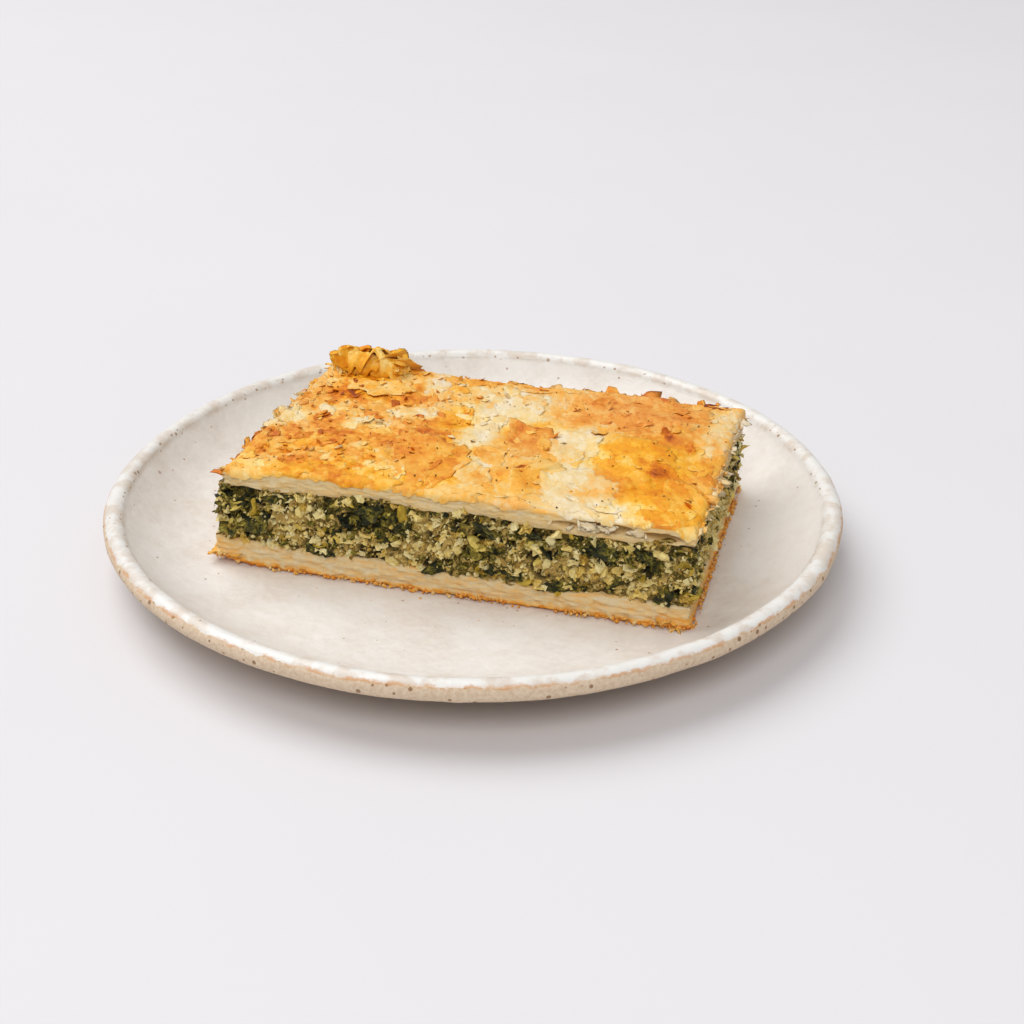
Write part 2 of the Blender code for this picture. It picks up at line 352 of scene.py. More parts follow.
def face_heights(node, plan, upper, margin=0.0040):
    """Heights of a solid's upper or lower face under these x, y points, kept this far inside it."""
    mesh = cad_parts[node].data
    mesh.calc_loop_triangles()
    corners = [v.co.copy() for v in mesh.vertices]
    tree = BVHTree.FromPolygons(corners, [t.vertices[:] for t in mesh.loop_triangles])
    low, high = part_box(node)
    way = -1.0 if upper else 1.0
    start = high.z + 0.01 if upper else low.z - 0.01
    found = []
    for x, y in plan:
        x = min(max(x, low.x + margin), high.x - margin)
        y = min(max(y, low.y + margin), high.y - margin)
        hit = None
        while hit is None:
            hit = tree.ray_cast(Vector((x, y, start)), Vector((0.0, 0.0, way)))[0]
            x, y = 0.98 * x, 0.98 * y
        found.append(hit.z)
    return np.array(found)


def cut_outline(node, shrink, corner=0.0012):
    """Evenly spaced points round a slice's layer, seen from above, and the way out at each of them."""
    low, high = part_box(node)
    low_x, high_x = low.x + shrink + corner, high.x - shrink - corner
    low_y, high_y = low.y + shrink + corner, high.y - shrink - corner
    plan, outward = [], []
    corners = ((low_x, low_y, 180), (high_x, low_y, 270), (high_x, high_y, 0), (low_x, high_y, 90))
    for (x, y, start), (next_x, next_y, _) in zip(corners, corners[1:] + corners[:1]):
        for degrees in (0, 22.5, 45, 67.5):
            angle = math.radians(start + degrees)
            plan.append((x + corner * math.cos(angle), y + corner * math.sin(angle)))
            outward.append((math.cos(angle), math.sin(angle)))
        turned = math.radians(start + 90)
        way = (round(math.cos(turned)), round(math.sin(turned)))
        length = math.hypot(next_x - x, next_y - y)
        for share in np.arange(0.0, 1.0, WALL_SPACING / length):
            plan.append((x + (next_x - x) * share + corner * way[0],
                         y + (next_y - y) * share + corner * way[1]))
            outward.append(way)
    return np.array(plan), np.array(outward, float)


def wall_grid(plan, outward, low, high, rows):
    """Rows of points up a wall, with the way out and the share of the height at each point."""
    share = np.linspace(0.0, 1.0, rows + 1)[:, None] + 0.0 * low
    x, y = plan[:, 0] + 0.0 * share, plan[:, 1] + 0.0 * share
    points = np.stack([x, y, low + (high - low) * share], -1)
    ways = np.concatenate([outward, 0.0 * outward[:, :1]], 1)[None] + 0.0 * points
    return points, ways, share


def capped(points, outward):
    """The wall's points and faces, closed above and below by an inset ring and one face."""
    inset = np.concatenate([outward, 0.0 * outward[:, :1]], 1) * CAP_INSET
    rows = np.concatenate([(points[0] - inset)[None], points, (points[-1] - inset)[None]])
    count, columns = rows.shape[:2]
    faces = ring_faces(count, columns)
    faces.append(list(range(columns))[::-1])
    faces.append(list(range((count - 1) * columns, count * columns)))
    return rows.reshape(-1, 3), faces


def with_caps(values):
    """One value for each of the wall's points, repeated on the two inset rings."""
    return np.concatenate([values[:1], values, values[-1:]]).ravel()


def ramp_of(value, stops):
    """The colour for a value from 0 to 1, between colours that each have a place there."""
    node = add_node("ValToRGB", {0: value})
    elements = node.color_ramp.elements
    while len(elements) < len(stops):
        elements.new(0.5)
    for element, (position, *shade) in zip(elements, stops):
        element.position = position
        element.color = paint(*shade)
    return node.outputs["Color"]


# What the oven does to pastry, from pale dough through gold to dark brown. Butter makes it yellower.
DRY = ((0.0, 236, 224, 204), (0.2, 226, 202, 158), (0.38, 236, 180, 98), (0.53, 228, 148, 58),
       (0.68, 204, 110, 36), (0.85, 140, 64, 22), (1.0, 74, 38, 18))
BUTTERY = ((0.0, 244, 228, 184), (0.2, 246, 206, 108), (0.38, 242, 174, 36), (0.53, 230, 142, 6),
           (0.68, 204, 104, 4), (0.85, 142, 58, 4), (1.0, 76, 36, 10))
browning, given, result = new_group(
    "oven_browning", {"Bake": "Float", "Butter": "Float"}, {"Color": "Color"})
dry, buttery = (ramp_of(given["Bake"], stops) for stops in (DRY, BUTTERY))
browned = mixed_colour(given["Butter"], dry, buttery)
feed(result.inputs["Color"], browned)

# The fine streaks of pressed sheets of dough, which show where a knife has cut across them.
streaks, given, result = new_group(
    "cut_sheets", {"Place": "Vector", "Thickness": "Float"}, {"Height": "Float"})
STREAK_LENGTHWAYS = 220.0
split = add_node("SeparateXYZ", {0: given["Place"]}).outputs
wavy = noise_of(given["Place"], 0.012)
bend = scaled(wavy, 0.0016, split["Z"])
stretched = add_node("CombineXYZ", {
    0: times(split["X"], STREAK_LENGTHWAYS),
    1: times(split["Y"], STREAK_LENGTHWAYS),
    2: calculated("DIVIDE", bend, given["Thickness"])}).outputs[0]
lines = noise_of(stretched, 1.0, 4.0, 0.6)
feed(result.inputs["Height"], lines)

# Thin sheets of pastry that have torn into flakes: each has its own tone and lies at its own height.
flakes, given, result = new_group(
    "torn_flakes", {"Place": "Vector", "Size": "Float"}, {"Tone": "Float"})
tone = 0.0
for fineness, weight, seed in ((1.0, 0.55, 0.0), (2.7, 0.45, 3.0)):
    warp = add_node("TexNoise", {
        "Vector": given["Place"], "Scale": 230.0 * fineness, "Detail": 4.0, "Roughness": 0.65})
    offset = add_node("VectorMath", {0: warp.outputs["Color"], 1: (0.5, 0.5, 0.5)},
                      operation="SUBTRACT").outputs[0]
    offset = add_node("VectorMath", {0: offset, 3: 0.0065 / fineness},
                      operation="SCALE").outputs[0]
    moved = add_node("VectorMath", {0: given["Place"], 1: offset}, operation="ADD").outputs[0]
    turned = add_node("Mapping", {
        "Vector": moved, "Rotation": (0.0, 0.0, -1.05 + seed), "Scale": (2.0, 0.9, 1.0)},
        vector_type="TEXTURE").outputs[0]
    scale = calculated("DIVIDE", fineness, given["Size"])
    cells = add_node("TexVoronoi", {"Vector": turned, "Scale": scale}).outputs["Color"]
    chance = add_node("SeparateColor", {"Color": cells}).outputs["Red"]
    tone = scaled(chance, weight, tone)
feed(result.inputs["Tone"], tone)


def pastry_material(name, sheets, torn, fine_bake, relief, roughness):
    """Baked pastry: its colour follows the bake and butter at each point, with mottling and specks."""
    material, tree, shader, place = new_material(name)
    height = noise_of(place, 0.0013, 5.0, 0.68, 0.3)
    change = scaled(height, fine_bake, -0.5 * fine_bake)
    rough = scaled(height, 0.25, roughness)
    # Pressed streaks are paler where raised and darker in the grooves between sheets, partly the
    # dough's own streaks and partly painted shade; torn flakes are browner where raised.
    for group, inputs, output, browning_and_groove_shade, raised in (
        (streaks, {"Thickness": 0.00042}, "Height", -0.6 * sheets, 2.4 * sheets),
        (flakes, {"Size": 0.0042}, "Tone", 0.24 * torn, 1.3 * torn),
    ):
        if raised:
            mask = place_group(group, Place=place, **inputs)[output]
            change = plus(change, -0.5 * browning_and_groove_shade)
            change = scaled(mask, browning_and_groove_shade, change)
            height = scaled(mask, raised, height)
    bake = plus(stored_value(tree, "bake"), change)
    colour = place_group(browning, Bake=bake, Butter=stored_value(tree, "butter"))["Color"]
    pepper = place_group(specks, Place=place, Spacing=0.0030, Radius=0.00022, Share=0.5)
    pepper = times(pepper["Mask"], 0.6)
    colour = mixed_colour(pepper, colour, paint(110, 66, 34))
    dress(shader, colour, rough, height, 0.7, relief)
    shader.inputs["Specular IOR Level"].default_value = 0.22
    return material


cut_pastry = pastry_material("cut_pastry", 0.5, 0.0, fine_bake=0.22, relief=0.0005, roughness=0.6)

plan, outward = cut_outline("bottom_crust", shrink=0.0006)
under = face_heights("bottom_crust", plan, upper=False)
over = face_heights("bottom_crust", plan, upper=True)
points, ways, share = wall_grid(plan, outward, under, over, rows=20)
pressed = uneven(points * (1.0, 1.0, 5.0), 0.0042, 11, 3)
torn = uneven(points * (1.0, 1.0, 2.2), 0.0021, 13, 3)
crumbly = uneven(points, 0.0013, 12, 3)
tray_side = eased(share + 0.06 * torn, 0.26, 0.04)
stand_out = 0.00046 * pressed + 0.00042 * torn + (0.00008 + 0.00050 * tray_side) * crumbly
stand_out = stand_out + 0.0006 * tray_side - 0.0008 * (2.0 * share - 1.0) ** 6
points = points + ways * stand_out[..., None]
left_end = eased(points[..., 0], -0.052, -0.066)
right_corner = eased(points[..., 0], 0.060, 0.074) * eased(share, 0.9, 0.3)
bake = 0.235 + 0.10 * pressed - 0.07 * torn + (0.30 + 0.12 * crumbly) * tray_side
bake = bake + 0.05 * left_end + 0.16 * right_corner
bottom_points, bottom_faces = capped(points, outward)
bottom_crust = new_piece(
    "bottom_pastry", bottom_points, bottom_faces, cut_pastry, "pale_pastry",
    bake=with_caps(bake), butter=with_caps(0.10 + 0.1 * left_end + 0.25 * tray_side),
)
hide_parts("bottom_crust")


def ball(divisions):
    """Points and triangles of a round lump with a radius of 1."""
    bpy.ops.mesh.primitive_ico_sphere_add(subdivisions=divisions, radius=1.0)
    made = bpy.context.object
    points = np.array([v.co for v in made.data.vertices])
    faces = np.array([f.vertices[:] for f in made.data.polygons])
    bpy.data.objects.remove(made)
    return points, faces


def directions(outward, tilt, chance, count=1):
    """Turned axes for each lump, the thin one roughly along outward: each its own, or one for all."""
    outward = np.repeat(np.atleast_2d(outward), count, axis=0)
    thin = outward + tilt * chance.normal(size=outward.shape)
    thin /= np.linalg.norm(thin, axis=1)[:, None]
    side = np.cross(chance.normal(size=outward.shape), thin)
    side /= np.linalg.norm(side, axis=1)[:, None]
    return np.stack([side, np.cross(thin, side), thin], 1)


def thin_sizes(across, chance, *sides):
    """A size along each axis of each lump: across times a least share and up to so much more."""
    return across * np.stack([least + more * chance.random(len(across)) for least, more in sides], 1)


def lumps(shape, centres, sizes, axes, chance, rough=0.3, crumple=0.0, bend=0.0):
    """Many uneven lumps as one mesh, each with its own centre, and its own size along its axes."""
    unit, faces = shape
    drift = 40.0 * chance.random((len(centres), 1, 3))
    body = unit[None] * (1.0 + rough * uneven(unit[None] + drift, 0.7, 22)[..., None])
    body[..., 2] += crumple * uneven(body * (1.0, 1.0, 0.0) + drift, 0.55, 21)
    body[..., 2] += bend * (body[..., 0] ** 2 - 0.4)
    body = np.einsum("npk,nkc->npc", body * sizes[:, None], axes) + centres[:, None]
    faces = faces[None] + (len(unit) * np.arange(len(centres)))[:, None, None]
    return body.reshape(-1, 3), faces.reshape(-1, 3).tolist()


# The crumbs that hang on along the bottom crust's browned edge.
chance = np.random.default_rng(31)
picked = chance.integers(0, len(plan), 1500)
clustered = uneven(np.c_[plan[picked], 0.0 * picked], 0.006, 33)
picked = picked[clustered > -0.9 + 1.1 * chance.random(len(picked))]
count = len(picked)
across = 0.00022 + 0.00040 * chance.random((count, 1)) ** 1.6
sizes = across * (0.7 + 0.6 * chance.random((count, 3)))
centres = np.c_[plan[picked] + outward[picked] * (0.0002 + 0.0011 * chance.random((count, 1))),
                under[picked] + 0.0002 + 0.0014 * chance.random(count) ** 1.5]
axes = directions(np.c_[outward[picked], 0.0 * picked], 1.0, chance)
points, faces = lumps(ball(1), centres, sizes, axes, chance, rough=0.35)
new_piece("tray_side_crumbs", points, faces, cut_pastry, "pale_pastry",
          bake=0.26 + 0.30 * chance.random(count), butter=0.25)

# Thin gold flaps where the lowest sheets have come loose at the two front corners.
count = 7
at_left = np.arange(count) < 3
centres = np.stack([np.where(at_left, -0.0640, 0.0690) + 0.0035 * chance.uniform(-1, 1, count),
                    -0.0438 + 0.0012 * chance.uniform(-1, 1, count),
                    np.where(at_left, 0.0098, 0.0080) + 0.0010 * chance.uniform(-1, 1, count)], -1)
across = 0.0012 + 0.0010 * chance.random((count, 1))
sizes = thin_sizes(across, chance, (1.3, 0.5), (0.7, 0.3), (0.07, 0.04))
axes = directions((0.0, -0.25, 1.0), 0.25, chance, count)
points, faces = lumps(ball(3), centres, sizes, axes, chance, rough=0.9, crumple=2.4, bend=1.5)
new_piece("gold_flaps", points, faces, cut_pastry, "pale_pastry",
          bake=0.24 + 0.16 * chance.random(count), butter=0.4)


# ---------------------------------------------------------------- the filling
# Chopped spinach cooked down with leek, then stirred into crumbled white cheese. The knife has left
# a ragged face of dark leaf, pale crumbs and yellow-green strips, with deep gaps between them.

plan, outward = cut_outline("filling", shrink=0.0016, corner=0.002)
under = face_heights("filling", plan, upper=False)
over = face_heights("filling", plan, upper=True)
points, ways, share = wall_grid(plan, outward, under - 0.0009, over + 0.0006, rows=34)


# Patches on the front: x, height, half length, half height, and how much more leaf, or less.
LEAF_AND_CHEESE = (
    (-0.018, 0.029, 0.014, 0.004, 0.8), (-0.055, 0.024, 0.006, 0.007, 0.5),
    (0.047, 0.027, 0.008, 0.004, 0.5), (0.060, 0.024, 0.005, 0.004, 0.3),
    (0.062, 0.016, 0.010, 0.006, -0.6), (0.046, 0.018, 0.008, 0.005, -0.5),
    (0.014, 0.028, 0.008, 0.003, 0.4), (-0.012, 0.018, 0.016, 0.004, -0.7),
    (-0.040, 0.023, 0.009, 0.007, -0.6), (0.030, 0.021, 0.011, 0.007, -0.6),
    (0.008, 0.021, 0.010, 0.006, -0.5), (-0.058, 0.013, 0.010, 0.003, -0.3),
)


def leafy(points):
    """Where the filling is mostly leaf, above 0, and mostly cheese, below 0."""
    points = np.asarray(points)
    field = 0.8 * uneven(points * (1.0, 1.0, 1.5), 0.009, 41, 3)
    front = eased(points[..., 1], -0.030, -0.040)
    for x, z, length, height, amount in LEAF_AND_CHEESE:
        far = ((points[..., 0] - x) / length) ** 2 + ((points[..., 2] - z) / height) ** 2
        field = field + front * amount * np.exp(-far)
    return field - 0.32 * (1.0 - front)


lumpy = uneven(points, 0.0040, 43, 3)
chopped = uneven(points, 0.0017, 44, 2)
gaps = np.maximum(0.0, uneven(points, 0.0030, 47, 2) - 0.08) * np.sin(math.pi * share) ** 0.3
stand_out = 0.0011 * lumpy + 0.00060 * chopped - 0.0034 * gaps
stand_out = stand_out - 0.0006 + 0.0008 * np.sin(math.pi * share)
stand_out = stand_out - 0.0040 * (outward[:, 0] < -0.5) * share**2
points = points + ways * stand_out[..., None]
wall = points.copy()

# Fine chopped variation in what's cooked together: three shades with ragged borders between them.
minced, given, result = new_group(
    "minced", {"Place": "Vector", "Size": "Float"}, {"Amount": "Float"})
fineness = calculated("DIVIDE", 1.0, given["Size"])
rough_noise = add_node("TexNoise", {
    "Vector": given["Place"], "Scale": fineness, "Detail": 6.0, "Roughness": 0.72, "Distortion": 0.8})
chopped_mask = mask_of(rough_noise.outputs["Fac"], 0.34, 0.66)
feed(result.inputs["Amount"], chopped_mask)

mash, tree, shader, place = new_material("spinach_and_cheese")
amount = place_group(minced, Place=place, Size=0.0016)["Amount"]
tinge = noise_of(place, 0.0007, 3.0, 0.7)
balance = scaled(amount, 1.8, -0.9)
balance = plus(stored_value(tree, "leaf"), balance)
leaf_colour = mixed_colour(tinge, paint(28, 30, 12), paint(142, 122, 38))
cheese_colour = mixed_colour(tinge, paint(184, 136, 46), paint(252, 222, 136))
colour = mixed_colour(mask_of(balance, -0.20, 0.20), cheese_colour, leaf_colour)
# Painted shade: the deep gaps between the bits are darkened towards near black.
colour = mixed_colour(stored_value(tree, "gap"), colour, paint(30, 24, 6))
dress(shader, colour, 0.5, plus(amount, tinge), 0.8, 0.0007)
shader.inputs["Specular IOR Level"].default_value = 0.35

core_points, core_faces = capped(points, outward)
# Each point also keeps how much painted shade darkens its gap.
filling = new_piece("filling_mass", core_points, core_faces, mash, "spinach_and_cheese",
                    leaf=with_caps(leafy(points)), gap=with_caps(np.clip(gaps * 2.4, 0.0, 0.9)))
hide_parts("filling")


STANDS_OUT = 0.0005


def on_cut_faces(count, most, chance, wanted, margin=1):
    """Random places on the cut faces, kept by a rule, with the way out at each."""
    rows, columns = wall.shape[:2]
    row = chance.integers(margin, rows - margin, count)
    column = chance.integers(0, columns, count)
    way = ways[row, column]
    places = wall[row, column] + 0.0003 * chance.normal(size=(count, 3))
    places = places + way * STANDS_OUT * chance.random((count, 1))
    kept = np.flatnonzero(wanted(places, chance.random(count)))[:most]
    return places[kept], way[kept]


def bits_material(name, stops, roughness, mottle, relief):
    """Cooked bits whose shade is set by a tone at each point, with fine mottling over it."""
    material, tree, shader, place = new_material(name)
    fine = place_group(minced, Place=place, Size=mottle)["Amount"]
    toned = scaled(fine, 0.36, -0.18)
    toned = plus(stored_value(tree, "tone"), toned)
    dress(shader, ramp_of(toned, stops), roughness, fine, 0.7, relief)
    shader.inputs["Specular IOR Level"].default_value = 0.35
    return material


# Crumbs of the cheese, stained a little by the greens: many fine ones and some as big as a lentil.
cheese = bits_material(
    "crumbled_cheese",
    ((0.0, 150, 114, 34), (0.20, 224, 182, 76), (0.44, 252, 224, 132), (1.0, 255, 240, 180)),
    roughness=0.55, mottle=0.0006, relief=0.0003)
chance = np.random.default_rng(51)
for name, shape, most, small, large in (
    ("fine_cheese_crumbs", ball(1), 3800, 0.00018, 0.00050),
    ("cheese_crumbs", ball(2), 1250, 0.00040, 0.00115),
):
    places, out = on_cut_faces(9000, most, chance, lambda p, r: leafy(p) < 0.9 * r - 0.30)
    count = len(places)
    across = small + (large - small) * chance.random((count, 1)) ** 1.8
    sizes = across * (0.6 + 0.8 * chance.random((count, 3)))
    axes = directions(out, 1.0, chance)
    points, faces = lumps(shape, places, sizes, axes, chance, rough=1.25, crumple=0.9)
    tone = np.repeat(np.clip(0.62 + 0.28 * chance.normal(size=count), 0.0, 1.0), len(shape[0]))
    tone = tone + 0.30 * uneven(points, 0.0009, 52, 2)
    crumbs = new_piece(name, points, faces, cheese, "spinach_and_cheese", tone=tone)
    crumbs.data.shade_flat()  # crumbs break with corners, so their faces stay sharp

# Bits of chopped leaf, crumpled, with their thin edges to the knife.
greens = bits_material(
    "chopped_spinach",
    ((0.0, 20, 24, 10), (0.30, 58, 60, 24), (0.58, 146, 130, 42), (1.0, 248, 222, 112)),
    roughness=0.36, mottle=0.0010, relief=0.0004)


def edge_on(out, chance):
    """Axes for thin bits that mostly stand edge-on to the cut."""
    base = 0.25 * out + np.array((0.0, 0.0, 0.55))
    return directions(base, 0.55, chance)


for name, shape, tried, most, small, large, crumple, margin in (
    ("spinach_bits", ball(2), 5000, 1280, 0.0004, 0.0014, 2.0, 2),
    ("spinach_leaves", ball(3), 900, 220, 0.0014, 0.0034, 2.6, 6),
):
    places, out = on_cut_faces(tried, most, chance, lambda p, r: leafy(p) > 0.8 * r - 0.40, margin)
    count = len(places)
    across = small + (large - small) * chance.random((count, 1)) ** 1.6
    sizes = thin_sizes(across, chance, (0.9, 0.7), (0.5, 0.4), (0.12, 0.12))
    places = places - 0.30 * across * out
    axes = edge_on(out, chance)
    points, faces = lumps(shape, places, sizes, axes, chance, rough=0.2, crumple=crumple, bend=1.0)
    lighter = 0.50 - 0.16 * np.clip(leafy(places) + 0.4, 0.0, 1.6)
    tone = np.clip(lighter + 0.24 * chance.normal(size=count), 0.0, 1.0)
    tone = np.repeat(tone, len(shape[0])) + 0.34 * uneven(points, 0.0008, 53, 2)
    new_piece(name, points, faces, greens, "spinach_and_cheese", tone=tone)

# Whole wilted leaves that lie folded flat against the cut, dark and wet: x, height, half sizes in
# millimetres and turn in degrees.
FOLDED_LEAVES = (
    (-19, 28, 6.5, 2.4, 8), (-9, 26, 4.5, 2.2, -12), (-52, 22, 4.0, 3.0, 60), (-56, 27, 3.4, 1.8, 10),
    (48, 27.5, 4.2, 1.9, -6), (53, 18, 3.2, 1.8, 35), (61, 27, 3.0, 1.5, 0), (14, 29, 5.0, 1.6, 5),
    (36, 14, 4.0, 1.8, 15), (-34, 15, 4.2, 1.6, -10), (2, 15, 3.6, 1.6, 20), (24, 15.5, 3.4, 1.6, -15),
    (-44, 29, 3.4, 1.6, 0), (42, 20, 3.0, 2.0, 40), (28, 29, 4.0, 1.4, 0), (66, 16, 2.6, 2.4, 50),
)
FOLDED_THICKNESS = 0.22
front_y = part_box("filling")[0].y + 0.0010
centres = np.array([(0.001 * x, front_y, 0.001 * z) for x, z, *_ in FOLDED_LEAVES])
lean = 0.25 * chance.normal(size=(len(centres), 2))
axes = []
for (*_, degrees), (sideways, upwards) in zip(FOLDED_LEAVES, lean):
    thin = np.array((sideways, -1.0, upwards)) / np.linalg.norm((sideways, -1.0, upwards))
    lengthways = np.array((math.cos(math.radians(degrees)), 0.0, math.sin(math.radians(degrees))))
    lengthways = lengthways - thin * (lengthways @ thin)
    lengthways /= np.linalg.norm(lengthways)
    axes.append((lengthways, np.cross(thin, lengthways), thin))
sizes = 0.001 * np.array([(*half_sizes, FOLDED_THICKNESS) for _, _, *half_sizes, _ in FOLDED_LEAVES])
points, faces = lumps(ball(4), centres, sizes, np.array(axes), chance, rough=0.5)
ridges = uneven(points * (1.0, 0.0, 1.6), 0.0024, 56, 3)
points[:, 1] = points[:, 1] - 0.0009 * (1.0 - 2.0 * np.abs(ridges)) + 0.0006
# Painted shade: the tone is darker where the folds sink in, on top of the leaves' own uneven tone.
tone = 0.36 + 0.34 * np.clip(uneven(points, 0.0014, 57, 3), -0.8, 1.5) - 0.24 * np.abs(ridges)
new_piece("folded_leaves", points, faces, greens, "spinach_and_cheese", tone=tone)

# Soft strips of leek, yellow-green and a little see-through.
leek = bits_material(
    "soft_leek", ((0.0, 134, 110, 20), (0.5, 200, 166, 48), (1.0, 236, 212, 116)),
    roughness=0.35, mottle=0.0014, relief=0.0002)
places, out = on_cut_faces(900, 120, chance, lambda p, r: r < 0.35)
count = len(places)
length = 0.0014 + 0.0022 * chance.random((count, 1)) ** 1.5
sizes = np.c_[length, thin_sizes(length, chance, (0.26, 0.20), (0.09, 0.06))]
axes = edge_on(out, chance)
points, faces = lumps(ball(3), places, sizes, axes, chance, rough=0.12, crumple=1.2, bend=1.6)
tone = np.clip(0.5 + 0.25 * chance.normal(size=count), 0.0, 1.0)
new_piece("leek_strips", points, faces, leek, "spinach_and_cheese", tone=tone)


# ---------------------------------------------------------------- the top crust
# Many thin buttered sheets of pastry, laid over the filling and baked until they rose, crisped and
# broke. The cut edges show the pale soft layers, and the upper sheets are gold.

TOP_CELL = 0.00054
crust_low, crust_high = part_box("top_crust")
CURL_RIGHT, CURL_FRONT = -0.0320, 0.0300
EDGE_X = (crust_low.x + 0.0006, crust_high.x - 0.0006)
EDGE_Y = (crust_low.y + 0.0006, crust_high.y - 0.0006)

COARSE_X, COARSE_Y = 57, 37
coarse_x = np.linspace(*EDGE_X, COARSE_X)
coarse_y = np.linspace(*EDGE_Y, COARSE_Y)
plan = np.stack(np.meshgrid(coarse_x, coarse_y, indexing="ij"), -1)
under_curl = (plan[..., 0] < CURL_RIGHT) & (plan[..., 1] > CURL_FRONT)
plan[..., 1][under_curl] = CURL_FRONT
coarse_top = face_heights("top_crust", plan.reshape(-1, 2), upper=True, margin=0.0024)
coarse_top = coarse_top.reshape(COARSE_X, COARSE_Y)


def bilinear(grid, xs, ys, x, y):
    """A grid's value at each x, y, between its four nearest points."""
    across = np.clip((x - xs[0]) / (xs[1] - xs[0]), 0.0, len(xs) - 1.001)
    along = np.clip((y - ys[0]) / (ys[1] - ys[0]), 0.0, len(ys) - 1.001)
    i, j = across.astype(int), along.astype(int)
    a, b = across - i, along - j
    near = grid[i, j] * (1 - a) * (1 - b) + grid[i + 1, j] * a * (1 - b)
    return near + grid[i, j + 1] * (1 - a) * b + grid[i + 1, j + 1] * a * b


def level(x, y):
    """Points at no height, for unevenness that is the same at every height."""
    return np.stack([x, y, 0.0 * x], -1)


def patches(x, y, places):
    """Sum of soft ovals: x, y and half sizes in millimetres, turn in degrees, and amount."""
    total = 0.0 * x
    for *oval, degrees, amount in places:
        centre_x, centre_y, length, depth = 0.001 * np.array(oval)
        c, s = math.cos(math.radians(degrees)), math.sin(math.radians(degrees))
        across = ((x - centre_x) * c + (y - centre_y) * s) / length
        along = ((y - centre_y) * c - (x - centre_x) * s) / depth
        total = total + amount * np.exp(-((across**2 + along**2) ** 1.5))
    return total


# Where the top stayed pale, browned more, and took more butter.
PALE = (
    (46, -42.5, 15, 4, 0, -0.3), (7.2, 20.5, 12, 17, -35, -0.4), (1, -1, 6, 12, 0, -0.34),
    (30, 4.5, 10, 10, 0, -0.36), (34.5, -20.5, 6, 14, -10, -0.32), (70, 21.5, 5, 20, 0, -0.24),
    (-21.8, 9.5, 10, 6, 0, -0.28), (-33, -2.5, 9, 5, 0, -0.26), (-56.8, -4.5, 6, 5, 0, -0.24),
    (44, -39, 16, 5, 0, -0.26), (8.2, -22.5, 8, 4, 0, -0.24), (-8, 33, 14, 7, 0, -0.2),
    (-10.8, -32.5, 6, 9, 20, -0.16), (56, -33, 7, 5, 0, -0.16), (-25, 37, 7, 4, 20, -0.16),
)
BROWNED = (
    (-2, -5, 16, 10, 0, 0.06), (-44, -12, 6, 3, -40, 0.14), (-56, -32, 4, 3, 0, 0.14),
    (10, -30, 4, 3, -40, 0.12), (42, 29.5, 23, 12, 0, 0.1), (34, 35, 3, 6, 20, 0.12),
    (57.5, -14, 3, 3.6, 20, 0.46), (53, -10, 1.6, 1.8, 0, 0.4), (56, 12, 1.6, 3.5, 20, 0.34),
    (64, 6, 1.4, 3, 20, 0.26), (65, -23.5, 2, 1.2, 0, 0.32), (-15, -12.5, 9, 9, 0, 0.06),
    (-48.8, 19.5, 8, 8, 0, 0.14), (-51.8, -22.5, 10, 12, 0, 0.06), (72, -12.5, 3, 6, 30, 0.16),
    (-38.8, -20.5, 4, 4, 0, 0.16), (-48, -4, 5, 3, 0, 0.16), (-19.5, 7.5, 1.6, 1.2, 0, 0.28),
    (48, 27, 10, 6, 0, 0.08), (56, 33, 1.6, 3, 0, 0.22),
)
BUTTERED = (
    (51.2, -6.5, 20, 16, 0, 0.8), (63.2, -32.5, 14, 12, 0, 0.9), (-28.8, -38.5, 35, 6, 0, 0.6),
    (-3.8, -24.5, 10, 20, 10, 0.7), (-8.8, 9.5, 6, 10, 0, 0.55), (-41.8, 25.5, 16, 10, 0, 0.5),
    (23.2, -26.5, 8, 12, -25, 0.45), (13.2, 3.5, 8, 14, 10, 0.4), (41.2, 31.5, 24, 14, 0, -0.35),
    (-46, 40, 14, 10, 0, 0.5), (-40, -25, 24, 10, 0, 0.25),
)


def bake_at(x, y):
    """How far the top is baked at each x, y: 0 pale, 0.5 gold, 1 dark brown."""
    flat = level(x, y)
    crumbly_left = eased(x, 0.000, -0.020)
    value = 0.43 + 0.12 * uneven(flat, 0.011, 61, 2) + 0.08 * uneven(flat, 0.0035, 62, 2)
    value = value + 0.12 * crumbly_left * uneven(flat, 0.0020, 63, 2)
    value = value + 0.10 * crumbly_left * uneven(flat, 0.0045, 64, 2)
    return np.maximum(0.12, value + patches(x, y, PALE)) + patches(x, y, BROWNED)


def butter_at(x, y):
    """How much butter the top took at each x, y, from 0 to 1."""
    flat = level(x, y)
    value = 0.38 + 0.22 * uneven(flat, 0.013, 65, 2) + 0.20 * uneven(flat, 0.005, 66, 2)
    return np.clip(value + patches(x, y, BUTTERED), 0.0, 1.0)


top_x = np.linspace(*EDGE_X, round((EDGE_X[1] - EDGE_X[0]) / TOP_CELL))
top_y = np.linspace(*EDGE_Y, round((EDGE_Y[1] - EDGE_Y[0]) / TOP_CELL))
x, y = np.meshgrid(top_x, top_y, indexing="ij")
flat = level(x, y)
warped = flat + 0.004 * level(uneven(flat, 0.009, 71, 2), uneven(flat, 0.009, 72, 2))
top = bilinear(coarse_top, coarse_x, coarse_y, x, y)
SHEETS, SHEET_STEP = 6, 0.00022
sheets = 0.0 * x
for sheet in range(SHEETS):
    covered = eased(uneven(warped * (1.0, 0.7, 1.0), 0.013, 80 + sheet, 2), -0.02, 0.05)
    sheets = sheets + SHEET_STEP * covered
rough_left = eased(x, 0.002, -0.018) * eased(y, 0.036, 0.026)
top = top - 0.0006 + sheets + 0.00035 * uneven(flat, 0.007, 74, 2)
top = top + 0.00050 * rough_left * uneven(flat, 0.0022, 75, 3)
top = top + 0.00006 * uneven(flat, 0.0012, 76, 2)
